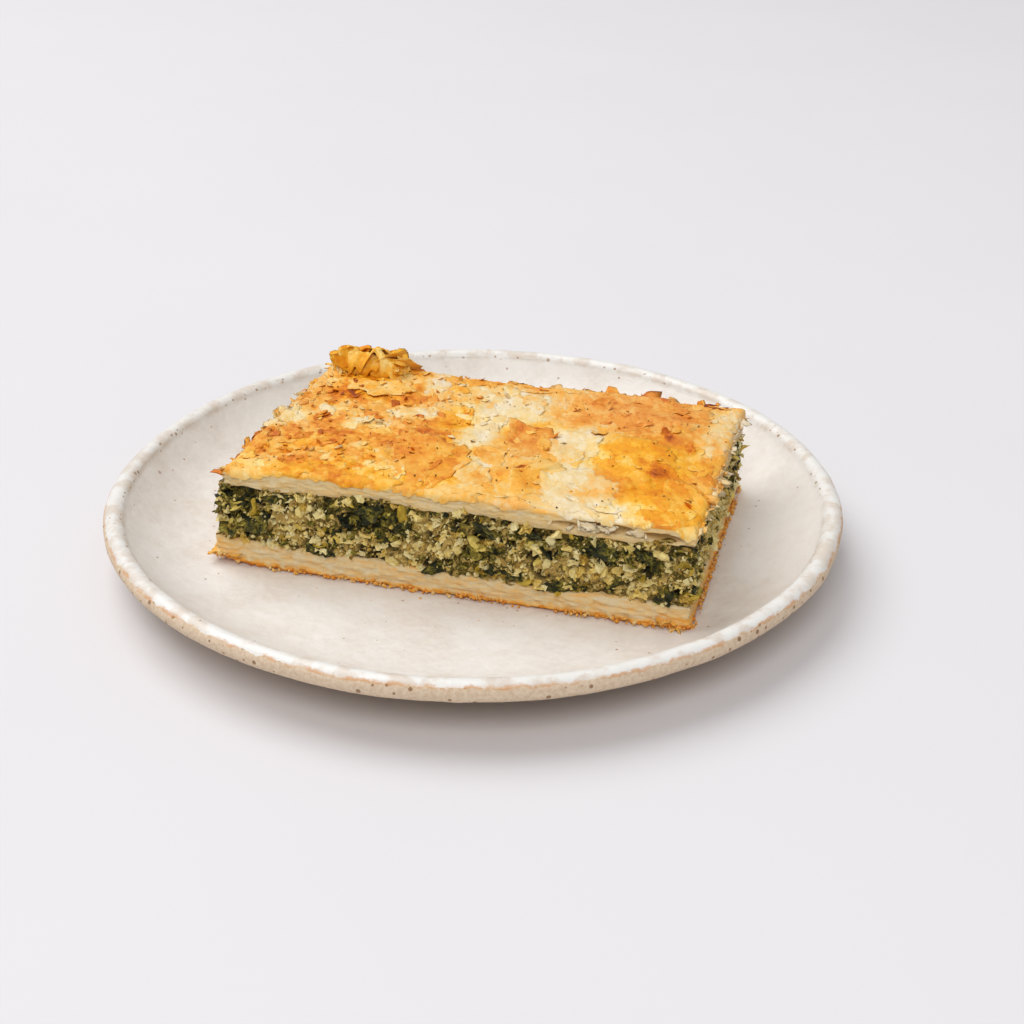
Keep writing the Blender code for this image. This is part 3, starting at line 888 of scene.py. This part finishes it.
BLISTERS = (
    (50.2, -3.5, 12.5, 10.5, 0, 0.0014), (58.2, -12.5, 4, 4.5, 0, 0.0006),
    (13.2, -16.5, 6, 5.5, 0, 0.0006), (23.2, -27.5, 6.5, 10, -30, 0.0009),
    (41.2, 5.5, 7, 6, 0, 0.0006), (-3.8, -24.5, 5, 16, 12, 0.0007), (65.2, -30.5, 9, 7, 0, 0.0008),
    (-41.8, 25.5, 9, 5, 0, 0.0007),
)
top = top + patches(x, y, BLISTERS)
cliff = np.minimum.reduce([x - EDGE_X[0], EDGE_X[1] - x, y - EDGE_Y[0], EDGE_Y[1] - y])
top = top - 0.0009 * (1.0 - np.sqrt(np.clip(cliff / 0.0014, 0.0, 1.0)))
top_points = np.stack([x, y, top], -1)


def top_at(x, y):
    """Height of the top at each x, y."""
    return bilinear(top, top_x, top_y, x, y)


def grid_faces(rows, columns):
    at = np.arange(rows * columns).reshape(rows, columns)
    return np.stack([at[:-1, :-1], at[1:, :-1], at[1:, 1:], at[:-1, 1:]], -1).reshape(-1, 4).tolist()


def border_of(rows, columns):
    """Numbers of the points round the edge of a grid, in order."""
    at = np.arange(rows * columns).reshape(rows, columns)
    return np.concatenate([at[:-1, 0], at[-1, :-1], at[:0:-1, -1], at[0, :0:-1]])


rim = border_of(*x.shape)
side_lengths = (x.shape[0] - 1, x.shape[1] - 1) * 2
ways_out = [(0.0, -1.0, 0.0), (1.0, 0.0, 0.0), (0.0, 1.0, 0.0), (-1.0, 0.0, 0.0)]
rim_out = np.repeat(ways_out, side_lengths, axis=0)
rim_points = top_points.reshape(-1, 3)[rim]
CRUST_ROWS = 16
rim_under = face_heights("top_crust", rim_points[:, :2], upper=False)
rim_under = rim_under + 0.0007 * uneven(rim_points * (1.0, 1.0, 0.0), 0.0045, 77, 3) - 0.0003
share = np.linspace(0.0, 1.0, CRUST_ROWS + 1)[1:, None] + 0.0 * rim_under
wall_points = np.repeat(rim_points[None], CRUST_ROWS, axis=0)
wall_points[..., 2] += (rim_under - rim_points[:, 2]) * share
pressed = uneven(wall_points * (1.0, 1.0, 4.0), 0.0046, 78, 3)
layered = uneven(wall_points * (1.0, 1.0, 2.6), 0.0019, 79, 3)
bulge = np.sin(math.pi * np.clip(share * 1.1, 0.0, 1.0))
stand_out = (0.00080 * pressed + 0.00042 * layered) * bulge - 0.0006 * share**3
# Where the crust has split at the front right: x, height, half length, half height and depth.
HOLLOWS = (
    (0.0500, 0.0342, 0.0070, 0.0014, 0.0050), (0.0650, 0.0336, 0.0052, 0.0012, 0.0045),
    (0.0385, 0.0338, 0.0036, 0.0009, 0.0026),
)
wall_x, wall_z = wall_points[..., 0], wall_points[..., 2]
on_front = eased(wall_points[..., 1], EDGE_Y[0] + 0.0006, EDGE_Y[0] + 0.0001)
hollow = 0.0 * share
for hole_x, hole_z, length, height, depth in HOLLOWS:
    far = ((wall_x - hole_x) / length) ** 2 + ((wall_z - hole_z) / height) ** 2
    hollow = hollow + on_front * depth * np.exp(-(far**2.5))
stand_out = stand_out - hollow
wall_points = wall_points + rim_out * stand_out[..., None]

hidden_ring = wall_points[-1] - rim_out * CAP_INSET
slab_points = np.concatenate([top_points.reshape(-1, 3), wall_points.reshape(-1, 3), hidden_ring])
slab_faces = grid_faces(*x.shape)
top_faces = len(slab_faces)
columns = len(rim)
below = x.size + np.arange((CRUST_ROWS + 1) * columns).reshape(-1, columns)
rows = np.concatenate([rim[None], below])
after = np.roll(rows, -1, axis=1)
slab_faces += np.stack([rows[1:], after[1:], after[:-1], rows[:-1]], -1).reshape(-1, 4).tolist()
slab_faces.append(rows[-1][::-1].tolist())

top_bake = bake_at(x, y) + 40.0 * (sheets - sheets.mean())
wall_bake = 0.20 + 0.06 * pressed - 0.05 * layered + 0.22 * eased(share, 0.12, 0.0)
risen = pastry_material("golden_pastry", 0.0, 1.0, fine_bake=0.26, relief=0.00035, roughness=0.38)
top_crust = new_piece(
    "top_pastry", slab_points, slab_faces, cut_pastry, "golden_pastry",
    bake=np.concatenate([top_bake.ravel(), wall_bake.ravel(), np.full(columns, 0.15)]),
    butter=np.concatenate([butter_at(x, y).ravel(), np.full(share.size, 0.25), np.full(columns, 0.2)]),
)
top_crust.data.materials.append(risen)
is_top = [int(k < top_faces) for k in range(len(slab_faces))]
top_crust.data.polygons.foreach_set("material_index", is_top)
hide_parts("top_crust")


# ---------------------------------------------------------------- the loose leaves on top
# The uppermost sheets have torn into leaves that overlap. Most lie flat, some have an edge that has
# lifted and browned, and those at the edge of the slice hang over it.

LEAF_THICKNESS = 0.00010


def draped(x, y):
    """Moves what hangs over the slice's edge in against it, and says how far it hangs down."""
    hang = 0.0 * x
    moved = []
    for value, (low, high) in ((x, EDGE_X), (y, EDGE_Y)):
        excess = np.maximum(0.0, low - value) + np.maximum(0.0, value - high)
        hang = hang + excess
        outside = 0.0006 * (1.0 - np.exp(-excess / 0.0009))
        moved.append(np.where(value < low, low - outside,
                              np.where(value > high, high + outside, value)))
    return moved[0], moved[1], 0.85 * hang


def torn_leaf(outline, lift, lift_way, order, seed, rings, sectors, raggedness):
    """A leaf from its rough outline: rings of points, how near its edge each is, and its rise."""
    outline = np.array(outline, float)
    centre = outline.mean(axis=0)
    spokes = np.degrees(np.arctan2(*(outline - centre).T[::-1])) % 360
    inorder = np.argsort(spokes)
    lengths = np.linalg.norm(outline - centre, axis=1)[inorder]
    degrees = np.linspace(0.0, 360.0, sectors, endpoint=False)[None]
    reach = np.interp(degrees, spokes[inorder], lengths, period=360)
    angle = np.radians(degrees)
    circle = np.stack([np.cos(angle), np.sin(angle), 0.0 * angle], -1)
    tears = min(0.0030, 0.45 * reach.mean())
    ragged = uneven(circle * reach[..., None] + 0.1 * seed, tears, 500 + seed, 4)
    reach = reach * (1.0 + raggedness * ragged)
    out = (np.linspace(0.0, 1.0, rings + 1)[1:] ** 0.75)[:, None]
    x = centre[0] + reach * out * np.cos(angle)
    y = centre[1] + reach * out * np.sin(angle)
    flat = level(x, y)
    facing = 0.5 + 0.5 * np.cos(angle - math.radians(lift_way))
    uneven_rise = np.clip(1.0 + 0.8 * uneven(flat, 0.004, 700 + seed), 0.2, 2)
    rise = lift * facing**2 * eased(out, 0.45, 1.0) * uneven_rise
    x, y, hang = draped(x, y)
    tucked = 1.15 * eased(out, 0.80, 1.0) * (1.0 - 0.6 * facing)
    z = top_at(x, y) + (0.00007 + 0.00007 * order) * (1.0 - tucked) + rise - hang
    z = z + 0.00014 * uneven(flat, 0.0028, 800 + seed, 2) * out
    return np.stack([x, y, z], -1), out + 0.0 * x, rise


def leaf_piece(name, leaves, rings, sectors, raggedness=0.26):
    """Joins leaves into one piece: each is outline, lift, lift way, bake, butter, own share of both."""
    points, faces, bake, butter = [], [], [], []
    corners = 2 * rings * sectors
    for order, (outline, lift, lift_way, own_bake, own_butter, own) in enumerate(leaves):
        leaf, out, rise = torn_leaf(
            outline, lift, lift_way, order % 4, 3 * order, rings, sectors, raggedness)
        first = order * corners
        points.append(np.concatenate([leaf, (leaf - (0.0, 0.0, LEAF_THICKNESS))[::-1]]).reshape(-1, 3))
        faces += (np.array(ring_faces(2 * rings, sectors))[:, ::-1] + first).tolist()
        faces.append(list(range(first, first + sectors)))
        faces.append(list(range(first + corners - sectors, first + corners))[::-1])
        flat = leaf * (1.0, 1.0, 0.0)
        x, y = leaf[..., 0], leaf[..., 1]
        value = (1.0 - own) * bake_at(x, y) + own * own_bake
        value = value + own * 0.10 * uneven(flat, 0.007, 91 + order, 2)
        value = value + 0.05 * uneven(flat, 0.0022, 90 + order, 2) + 50.0 * np.maximum(0.0, rise)
        value = value - 0.08 * eased(out, 0.82, 1.0) * (uneven(flat, 0.004, 95 + order) > 0.0)
        value = np.clip(value, 0.12, 0.92)
        richer = np.clip((1.0 - own) * butter_at(x, y) + own * own_butter, 0.0, 1.0)
        bake.append(np.concatenate([value, value[::-1] - 0.08]))
        butter.append(np.concatenate([richer, richer[::-1]]))
    new_piece(name, np.concatenate(points), faces, risen, "golden_pastry",
              bake=np.concatenate(bake), butter=np.concatenate(butter))


def torn_oval(centre, half, degrees, chance):
    """An oval outline with torn points and notches."""
    turns = np.radians(np.arange(0, 360, 30))
    c, s = math.cos(math.radians(degrees)), math.sin(math.radians(degrees))
    torn = chance.uniform(0.60, 1.25, len(turns))
    along, across = half[0] * torn * np.cos(turns), half[1] * torn * np.sin(turns)
    return np.stack([centre[0] + c * along - s * across, centre[1] + s * along + c * across], -1)


# The large leaves: the x, y pairs of the outline in millimetres, how far and which way it is lifted,
# its bake and butter, and how much of both is its own.
LARGE_LEAVES = (
    ((21, 41,  31, 42,  45, 40,  59, 40,  66, 35,  63, 25,  56, 17,  43, 11,  31, 9,  23, 13,
      20, 25), 0, 0, 0.47, 0.1, 0.6),
    ((-21, -8,  -14, -7,  -7, -9,  -3, -13,  -2, -21,  -3, -30,  -4, -39,  -9, -43,  -15, -36,
      -17, -25,  -21, -17), 0.0003, 120, 0.5, 0.45, 0.75),
    ((31, -21,  39, -19,  47, -25,  50, -35,  47, -43,  35, -43,  29, -35),
     0.0002, 200, 0.16, 0.1, 0.45),
    ((25, 9,  36, 9,  37, 1,  35, -11,  31, -17,  26, -11,  24, -1), 0.0001, 30, 0.1, 0, 0.4),
    ((-2, -11,  1, -13,  3, -21,  3, -31,  2, -40,  -1, -43,  -4, -39,  -4, -27,  -3, -17),
     0.0006, 10, 0.53, 0.6, 0.8),
    ((6, 14,  10, 11,  15, 10.5,  20, 9.5,  23, 4,  23.5, -2,  22, -9,  21, -15,  17, -18,
      14, -13,  12, -7,  10.5, 0,  9, 6), 0.0007, 150, 0.52, 0.25, 0.85),
    ((5, -10,  9, -11,  12, -14,  14, -19,  14, -24,  10, -23,  6, -18,  4, -14),
     0.0004, 90, 0.4, 0.5, 0.8),
    ((4, -25,  9, -26,  13, -31,  14, -37,  7, -39,  3, -33), 0.0004, 80, 0.31, 0.4, 0.8),
    ((37, -3,  41, 4,  48, 7.5,  54, 5,  59, 0,  62, -8,  61, -15,  58, -20,  51, -21,  44, -17,
      39, -11), 0.0003, 110, 0.42, 1, 0.35),
    ((26, -13,  30, -17,  33, -25,  32, -33,  25, -40,  18, -42,  15, -37,  19, -33,  22, -27,
      24, -20), 0.0009, 150, 0.33, 0.6, 0.8),
    ((63, -17,  68, -19,  72, -23,  74.5, -32,  73, -41,  67, -41,  62, -35,  61, -25),
     0.0005, 60, 0.42, 0.8, 0.6),
    ((-51, 29,  -45, 32,  -37, 32,  -30, 29,  -28, 24,  -33, 21,  -42, 20,  -49, 23),
     0.0005, 270, 0.34, 0.5, 0.85),
    ((-13, 18,  -7, 18,  -5, 12,  -6, 5,  -11, 3,  -14, 9), 0.0004, 60, 0.4, 0.8, 0.8),
)
OUTLINES_START = (0.2, 0.5)
chance = np.random.default_rng(101)
large = [(0.001 * (np.reshape(outline, (-1, 2)) + OUTLINES_START), *rest)
         for outline, *rest in LARGE_LEAVES]
leaf_piece("large_leaves", large, rings=7, sectors=132, raggedness=0.20)


def loose_leaf(centre, half, degrees, lift, change):
    """A leaf that takes most of its bake from what it lies on."""
    here = np.array(centre)
    own_bake = float(bake_at(here[:1], here[1:])[0]) + change * chance.normal()
    own_butter = float(butter_at(here[:1], here[1:])[0]) + 2.0 * change * chance.normal()
    outline = torn_oval(centre, half, degrees, chance)
    return outline, lift, chance.uniform(0, 360), own_bake, own_butter, 0.6


# Small leaves with places of their own: x, y and half sizes in millimetres, turn in degrees, lift in
# millimetres and its way, bake and butter.
MARKED_LEAVES = (
    (66, 42.5, 3.2, 1.2, 5, 1.6, 90, 0.86, 0.2), (70.5, -31.5, 3.4, 1.1, -35, 1, 200, 0.74, 0.7),
    (21.5, -26, 5.5, 0.9, 62, 0.9, 150, 0.66, 0.6), (23, 4.5, 1.6, 1.2, 20, 1.2, 10, 0.6, 0.3),
    (-40, -21, 4, 1.8, -50, 0.7, 200, 0.58, 0.4), (-4.5, -29.5, 4.5, 1.3, 75, 0.6, 10, 0.56, 0.5),
    (-20, 7, 1.8, 1.1, 30, 0.6, 90, 0.68, 0.3), (46, 19, 3.5, 1.6, 15, 0.7, 60, 0.6, 0.2),
    (55, 13.5, 2.4, 1.1, -30, 1.1, 120, 0.72, 0.4), (63.5, 6.5, 2.6, 1, -50, 1.2, 60, 0.7, 0.4),
    (30, 33, 4, 1.4, 30, 0.6, 90, 0.56, 0.2), (-58, 12, 3.4, 1.5, -60, 0.8, 180, 0.6, 0.4),
    (40, -33, 5.5, 1.6, -38, 0.5, 120, 0.14, 0.2), (33, -8, 6, 1.5, -70, 0.5, 20, 0.18, 0.2),
    (12, 24, 5.5, 1.8, -48, 0.5, 40, 0.2, 0.1), (4, 6, 4.5, 1.4, -60, 0.5, 40, 0.22, 0.1),
    (48, -40.5, 5, 1.6, -8, 0.6, 270, 0.1, 0.1), (-24, -2, 3.5, 1.6, -30, 0.6, 60, 0.24, 0.2),
)
leaves = []
for *oval, degrees, lift, way, own_bake, own_butter in MARKED_LEAVES:
    centre, half = 0.001 * np.array(oval).reshape(2, 2)
    outline = torn_oval(centre, half, degrees, chance)
    leaves.append((outline, 0.001 * lift, way, own_bake, own_butter, 0.9))


def small_leaves(most, left_part, clear, lengths, widths, turn, highest, change):
    """Loose leaves at random places, none of them on the curled corner."""
    found = []
    for _ in range(most):
        reach = EDGE_X[1] if not left_part else -0.014 + 0.022 * chance.random()
        centre = (chance.uniform(EDGE_X[0], reach), chance.uniform(*EDGE_Y))
        if centre[0] < CURL_RIGHT and centre[1] > CURL_FRONT - clear:
            continue
        long_side = chance.uniform(*lengths)
        half = (long_side, long_side * chance.uniform(*widths))
        degrees = chance.normal(*turn)
        lift = highest[0] * chance.random() ** highest[1]
        found.append(loose_leaf(centre, half, degrees, lift, change))
    return found


leaves += small_leaves(44, False, 0.0, (0.003, 0.009), (0.22, 0.5), (-62, 22), (0.0005, 3), 0.09)
leaf_piece("torn_leaves", leaves, rings=5, sectors=56)

# Small flakes on the rough left part, many of them with a raised edge.
rough = small_leaves(120, True, 0.004, (0.0014, 0.0042), (0.4, 0.8), (-60, 40), (0.0003, 2), 0.13)
leaf_piece("rough_flakes", rough, rings=5, sectors=24)

# The gold lip along each cut, where the uppermost sheets end.
EDGE_LEAF_SPACING = 0.0064
front_left, back_right = np.array(list(zip(EDGE_X, EDGE_Y)))
front_right, back_left = np.array((EDGE_X[1], EDGE_Y[0])), np.array((EDGE_X[0], EDGE_Y[1]))
edge_leaves = []
for start, end, inwards, lengthways in (
    (front_left, front_right, (0, 1), 0), (front_right, back_right, (-1, 0), 90),
    (back_left, back_right, (0, -1), 0), (front_left, back_left, (1, 0), 90),
):
    length = np.linalg.norm(end - start)
    for share in np.arange(0.02, 0.99, EDGE_LEAF_SPACING / length):
        half_depth = chance.uniform(0.0018, 0.0038)
        inset = half_depth - chance.uniform(-0.0012, 0.0018)
        along = share + 0.0006 * chance.normal() / length
        centre = start + (end - start) * along + inset * np.array(inwards)
        to_corner = length * min(share, 1.0 - share) + 0.0006
        half = (min(chance.uniform(0.0045, 0.0095), to_corner), half_depth)
        turn = lengthways + chance.normal(0, 7)
        edge_leaves.append(loose_leaf(centre, half, turn, 0.0001, 0.05))
leaf_piece("edge_leaves", edge_leaves, rings=4, sectors=44, raggedness=0.38)

# Short flakes that stand out of the left, back and right edges of the top.
UP = (0.0, 0.0, 1.0)
count = 150
side = chance.integers(0, 3, count)
along_x, along_y = chance.uniform(*EDGE_X, count), chance.uniform(*EDGE_Y, count)
x = np.choose(side, (np.full(count, EDGE_X[0]), along_x, np.full(count, EDGE_X[1])))
x = x + 0.0005 * chance.normal(size=count)
y = np.where(side == 1, EDGE_Y[1], along_y) + 0.0005 * chance.normal(size=count)
centres = np.stack([x, y, top_at(x, y) - 0.0002 - 0.0008 * chance.random(count)], -1)
across = 0.0009 + 0.0015 * chance.random((count, 1)) ** 1.5
sizes = thin_sizes(across, chance, (1.1, 0.5), (0.6, 0.4), (0.07, 0.05))
axes = directions(UP, 0.40, chance, count)
points, faces = lumps(ball(2), centres, sizes, axes, chance, rough=0.5, crumple=1.8, bend=1.4)
paler = 1.0 * (side == 2)
new_piece(
    "rim_flakes", points, faces, risen, "golden_pastry",
    bake=np.clip(bake_at(x, y) - 0.16 * paler + 0.10 * chance.normal(size=count), 0.05, 0.85),
    butter=np.clip(butter_at(x, y) - 0.3 * paler, 0, 1))

# Soft white shreds of the inner sheets, which hang out of the front where the crust has split.
count = 18
x = 0.047 + 0.008 * chance.normal(size=count)
z = 0.0342 + 0.0007 * chance.normal(size=count)
centres = np.stack([x, EDGE_Y[0] - 0.0003 * chance.random(count), z], -1)
across = 0.0004 + 0.0009 * chance.random((count, 1)) ** 1.5
sizes = thin_sizes(across, chance, (1.2, 0.6), (0.6, 0.4), (0.12, 0.08))
axes = directions((0.0, -1.0, 0.5), 0.20, chance, count)
points, faces = lumps(ball(2), centres, sizes, axes, chance, rough=0.8, crumple=0.8, bend=0.4)
new_piece("torn_shreds", points, faces, cut_pastry, "pale_pastry",
          bake=0.08 + 0.10 * chance.random(count), butter=0.15)


# ---------------------------------------------------------------- the curled corner
# At the back left, the top sheets have curled up off the slice and set crisp in the oven.

CURL_CENTRE = (-0.0472, 0.0392, 0.0345)
CURL_HALF = (0.0125, 0.0046, 0.0069)
CURL_THICKNESS = 0.00020
CURL_COLUMNS, CURL_ROWS = 64, 40
# How large each sheet of the curl is, its seed, and where it starts and ends as it turns, in degrees.
CURL_SHEETS = ((1.0, 111, -60, 150), (0.80, 131, -50, 165), (0.62, 151, -40, 190), (1.10, 171, -70, 80))


def curl_sheet(grow, seed, start, end):
    """One crisp sheet that arches over, as rows of points from its foot to its free edge."""
    across, sweep = np.meshgrid(
        np.linspace(-1.0, 1.0, CURL_COLUMNS), np.linspace(0.0, 1.0, CURL_ROWS), indexing="ij")
    place = level(0.0125 * across, 0.02 * sweep)
    torn = 1.0 + 0.30 * uneven(place * (1.0, 0.0, 0.0), 0.0040, seed, 3)
    angle = math.radians(start) + math.radians(end - start) * sweep * torn
    round_end = np.sqrt(np.clip(1.0 - np.abs(across) ** 3.2, 0.0, 1.0))
    creased = 1.0 - 2.0 * np.abs(uneven(place, 0.0080, seed + 5, 2))
    crumple = 0.20 * creased + 0.10 * uneven(place, 0.0032, seed + 6, 2)
    crumple = 1.0 + crumple * (0.4 + 0.6 * sweep)
    ragged_end = 1.0 + 0.10 * uneven(place * (0.0, 1.0, 0.0), 0.003, seed + 9, 2)
    x = CURL_CENTRE[0] + CURL_HALF[0] * across * ragged_end
    y = CURL_CENTRE[1] + CURL_HALF[1] * grow * (0.45 + 0.55 * round_end) * crumple * np.cos(angle)
    lean = 0.94 - 0.10 * across + 0.06 * np.cos(3.0 * across)
    z = CURL_HALF[2] * grow * (0.40 + 0.60 * round_end) * crumple * np.sin(angle) * lean
    z = CURL_CENTRE[2] + z + 0.0006 * uneven(place, 0.0022, seed + 12, 2)
    return np.stack([x, y, z], -1), sweep, creased


points, faces, bake = [], [], []
size = (CURL_COLUMNS, CURL_ROWS)
count = CURL_COLUMNS * CURL_ROWS
outer, border = np.array(grid_faces(*size)), border_of(*size)
after = np.roll(border, -1)
rim_faces = np.stack([border, after, after + count, border + count], -1)
both_sides = np.concatenate([outer, outer[:, ::-1] + count, rim_faces[:, ::-1]])
for order, (grow, seed, start, end) in enumerate(CURL_SHEETS):
    sheet, sweep, creased = curl_sheet(grow, seed, start, end)
    inward = (np.array((0.0, CURL_CENTRE[1], CURL_CENTRE[2] - 0.002)) - sheet) * (0.0, 1.0, 1.0)
    inward /= np.linalg.norm(inward, axis=-1)[..., None]
    faces += (both_sides + order * 2 * count).tolist()
    points.append(np.concatenate([sheet, sheet + inward * CURL_THICKNESS]).reshape(-1, 3))
    value = 0.35 + 0.12 * uneven(sheet, 0.004, seed + 3, 2) - 0.08 * creased
    # The free edge is browner; low down, where the curl tucks under, the sheets are browner too, which
    # is painted shade.
    value = value + 0.06 * eased(sweep, 0.75, 1.0) + 0.16 * eased(sheet[..., 2], 0.036, 0.032)
    bake.append(np.concatenate([value, value]))
new_piece("curled_corner", np.concatenate(points), faces, risen, "golden_pastry",
          bake=np.concatenate(bake), butter=0.92)

# The crumpled flakes that stand on the curl.
chance = np.random.default_rng(191)
count = 13
turn = np.radians(chance.uniform(-30, 150, count))
x = CURL_CENTRE[0] + 0.0115 * chance.uniform(-1, 1, count)
out = np.stack([0.0 * x, -np.cos(turn), np.sin(turn)], -1)
centres = np.stack([x, CURL_CENTRE[1] - 0.0038 * np.cos(turn),
                    CURL_CENTRE[2] + 0.0040 * np.sin(turn)], -1)
across = 0.0026 + 0.0020 * chance.random((count, 1))
sizes = thin_sizes(across, chance, (1.1, 0.4), (0.7, 0.4), (0.04, 0.02))
axes = directions(out, 0.45, chance)
points, faces = lumps(ball(3), centres, sizes, axes, chance, rough=0.45, crumple=2.4, bend=1.5)
tone = np.repeat(0.33 + 0.07 * chance.normal(size=count), len(points) // count)
tone = tone + 0.10 * uneven(points, 0.002, 55)
new_piece("curl_flakes", points, faces, risen, "golden_pastry", bake=tone, butter=0.92)


# ---------------------------------------------------------------- flakes, seasoning and crumbs
# Chips of broken pastry on the rough left part, specks of pepper and dried herb, and the crumbs
# that have dropped on the plate.

chance = np.random.default_rng(121)
count = 260
on_left = chance.random(count) < 0.75
x = np.where(on_left, chance.uniform(EDGE_X[0], 0.002, count), chance.uniform(*EDGE_X, count))
y = chance.uniform(EDGE_Y[0] + 0.004, EDGE_Y[1], count)
centres = np.stack([x, y, top_at(x, y) + 0.0003], -1)
across = 0.0004 + 0.0011 * chance.random((count, 1)) ** 2
sizes = thin_sizes(across, chance, (1.0, 0.5), (0.7, 0.3), (0.10, 0.12))
axes = directions(UP, 0.35, chance, count)
points, faces = lumps(ball(2), centres, sizes, axes, chance, rough=0.3, crumple=0.9, bend=0.6)
new_piece(
    "pastry_chips", points, faces, risen, "golden_pastry",
    bake=np.clip(bake_at(x, y) + 0.02 + 0.11 * chance.normal(size=count), 0.05, 0.80),
    butter=np.clip(butter_at(x, y) + 0.2 * chance.normal(size=count), 0, 1))

pepper = bits_material(
    "pepper_and_herbs", ((0.0, 70, 48, 24), (0.6, 128, 84, 40), (1.0, 140, 120, 60)),
    roughness=0.6, mottle=0.0004, relief=0.0001)
count = 220
x = chance.uniform(EDGE_X[0] + 0.001, EDGE_X[1] - 0.001, count)
y = chance.uniform(EDGE_Y[0] + 0.001, EDGE_Y[1] - 0.001, count)
centres = np.stack([x, y, top_at(x, y) + 0.0004], -1)
across = 0.00010 + 0.00020 * chance.random((count, 1)) ** 2
sizes = across * (0.6 + 0.8 * chance.random((count, 3)))
points, faces = lumps(ball(1), centres, sizes, directions(UP, 0.5, chance, count), chance)
new_piece("pepper_specks", points, faces, pepper, "golden_pastry", tone=chance.random(count))

count = 34
spread = chance.uniform(0, 2 * math.pi, count)
x = 0.004 + (0.073 + 0.010 * chance.random(count)) * np.cos(spread)
y = (0.0475 + 0.014 * chance.random(count) ** 2) * np.sin(spread)
clear_of_slice = (np.abs(y) > 0.0462) | (x < -0.069) | (x > 0.0765)
x, y = x[clear_of_slice], y[clear_of_slice]
count = len(x)
inner, inner_height = lip_point(LIP_END)
up_the_side = np.maximum(0.0, np.hypot(x, y) - WELL_RADIUS) / (inner - WELL_RADIUS)
rise = (inner_height - WELL_HEIGHT) * up_the_side**WELL_CURVE
across = 0.00014 + 0.0003 * chance.random((count, 1)) ** 2
sizes = across * (0.7 + 0.6 * chance.random((count, 3)))
centres = np.stack([x, y, WELL_HEIGHT + rise + 0.7 * sizes.min(axis=1)], -1)
points, faces = lumps(ball(2), centres, sizes, directions(UP, 0.3, chance, count), chance)
new_piece("fallen_crumbs", points, faces, risen, "golden_pastry",
          bake=0.28 + 0.2 * chance.random(count), butter=0.2)


# ---------------------------------------------------------------- the table, the light and the camera
# A plain pale table top, a large soft light from behind on the left, and a camera at head height.

TABLE_SIZE = 24.0
ROOM_COLOUR, ROOM_STRENGTH = (0.98, 0.99, 1.0, 1.0), 0.40

bpy.ops.mesh.primitive_plane_add(size=TABLE_SIZE)
table = bpy.context.object
table.name = "table_top"
table_paint, tree, shader, place = new_material("pale_table")
faint = noise_of(place, 0.15)
feed(shader.inputs["Base Color"],
     mixed_colour(faint, paint(222, 220, 222), paint(219, 216, 219)))
shader.inputs["Roughness"].default_value = 0.8
table.data.materials.append(table_paint)

world = bpy.data.worlds.new("soft_room")
world.use_nodes = True
background = world.node_tree.nodes["Background"].inputs
background["Color"].default_value = ROOM_COLOUR
background["Strength"].default_value = ROOM_STRENGTH
bpy.context.scene.world = world


def soft_light(name, place, size, watts, aim=(0.0, 0.0, 0.02)):
    light = bpy.data.lights.new(name, "AREA")
    light.shape = "DISK"
    light.size = size
    light.energy = watts
    lamp = bpy.data.objects.new(name, light)
    lamp.location = place
    lamp.rotation_euler = (Vector(aim) - Vector(place)).to_track_quat("-Z", "Y").to_euler()
    bpy.context.scene.collection.objects.link(lamp)


soft_light("window", (-1.50, 0.60, 2.8), 2.8, 72.0)
soft_light("bounce", (0.3, -2.0, 2.3), 1.6, 36.0)

CAMERA_TARGET = Vector((0.0060, 0.0207, 0.0))
CAMERA_AZIMUTH, CAMERA_ELEVATION, CAMERA_ROLL = (math.radians(d) for d in (15.0, 27.67, 0.68))
CAMERA_DISTANCE, CAMERA_LENS, CAMERA_SENSOR = 0.5165, 56.97, 36.0
back = Vector((math.sin(CAMERA_AZIMUTH) * math.cos(CAMERA_ELEVATION),
               -math.cos(CAMERA_AZIMUTH) * math.cos(CAMERA_ELEVATION), math.sin(CAMERA_ELEVATION)))
lens = bpy.data.cameras.new("camera")
lens.lens, lens.sensor_width = CAMERA_LENS, CAMERA_SENSOR
lens.clip_start = 0.01
camera = bpy.data.objects.new("camera", lens)
camera.location = CAMERA_TARGET + CAMERA_DISTANCE * back
upright = (-back).to_track_quat("-Z", "Y").to_matrix()
camera.rotation_euler = (upright @ Matrix.Rotation(CAMERA_ROLL, 3, "Z")).to_euler()
bpy.context.scene.collection.objects.link(camera)
bpy.context.scene.camera = camera
bpy.context.scene.view_settings.view_transform = "Standard"
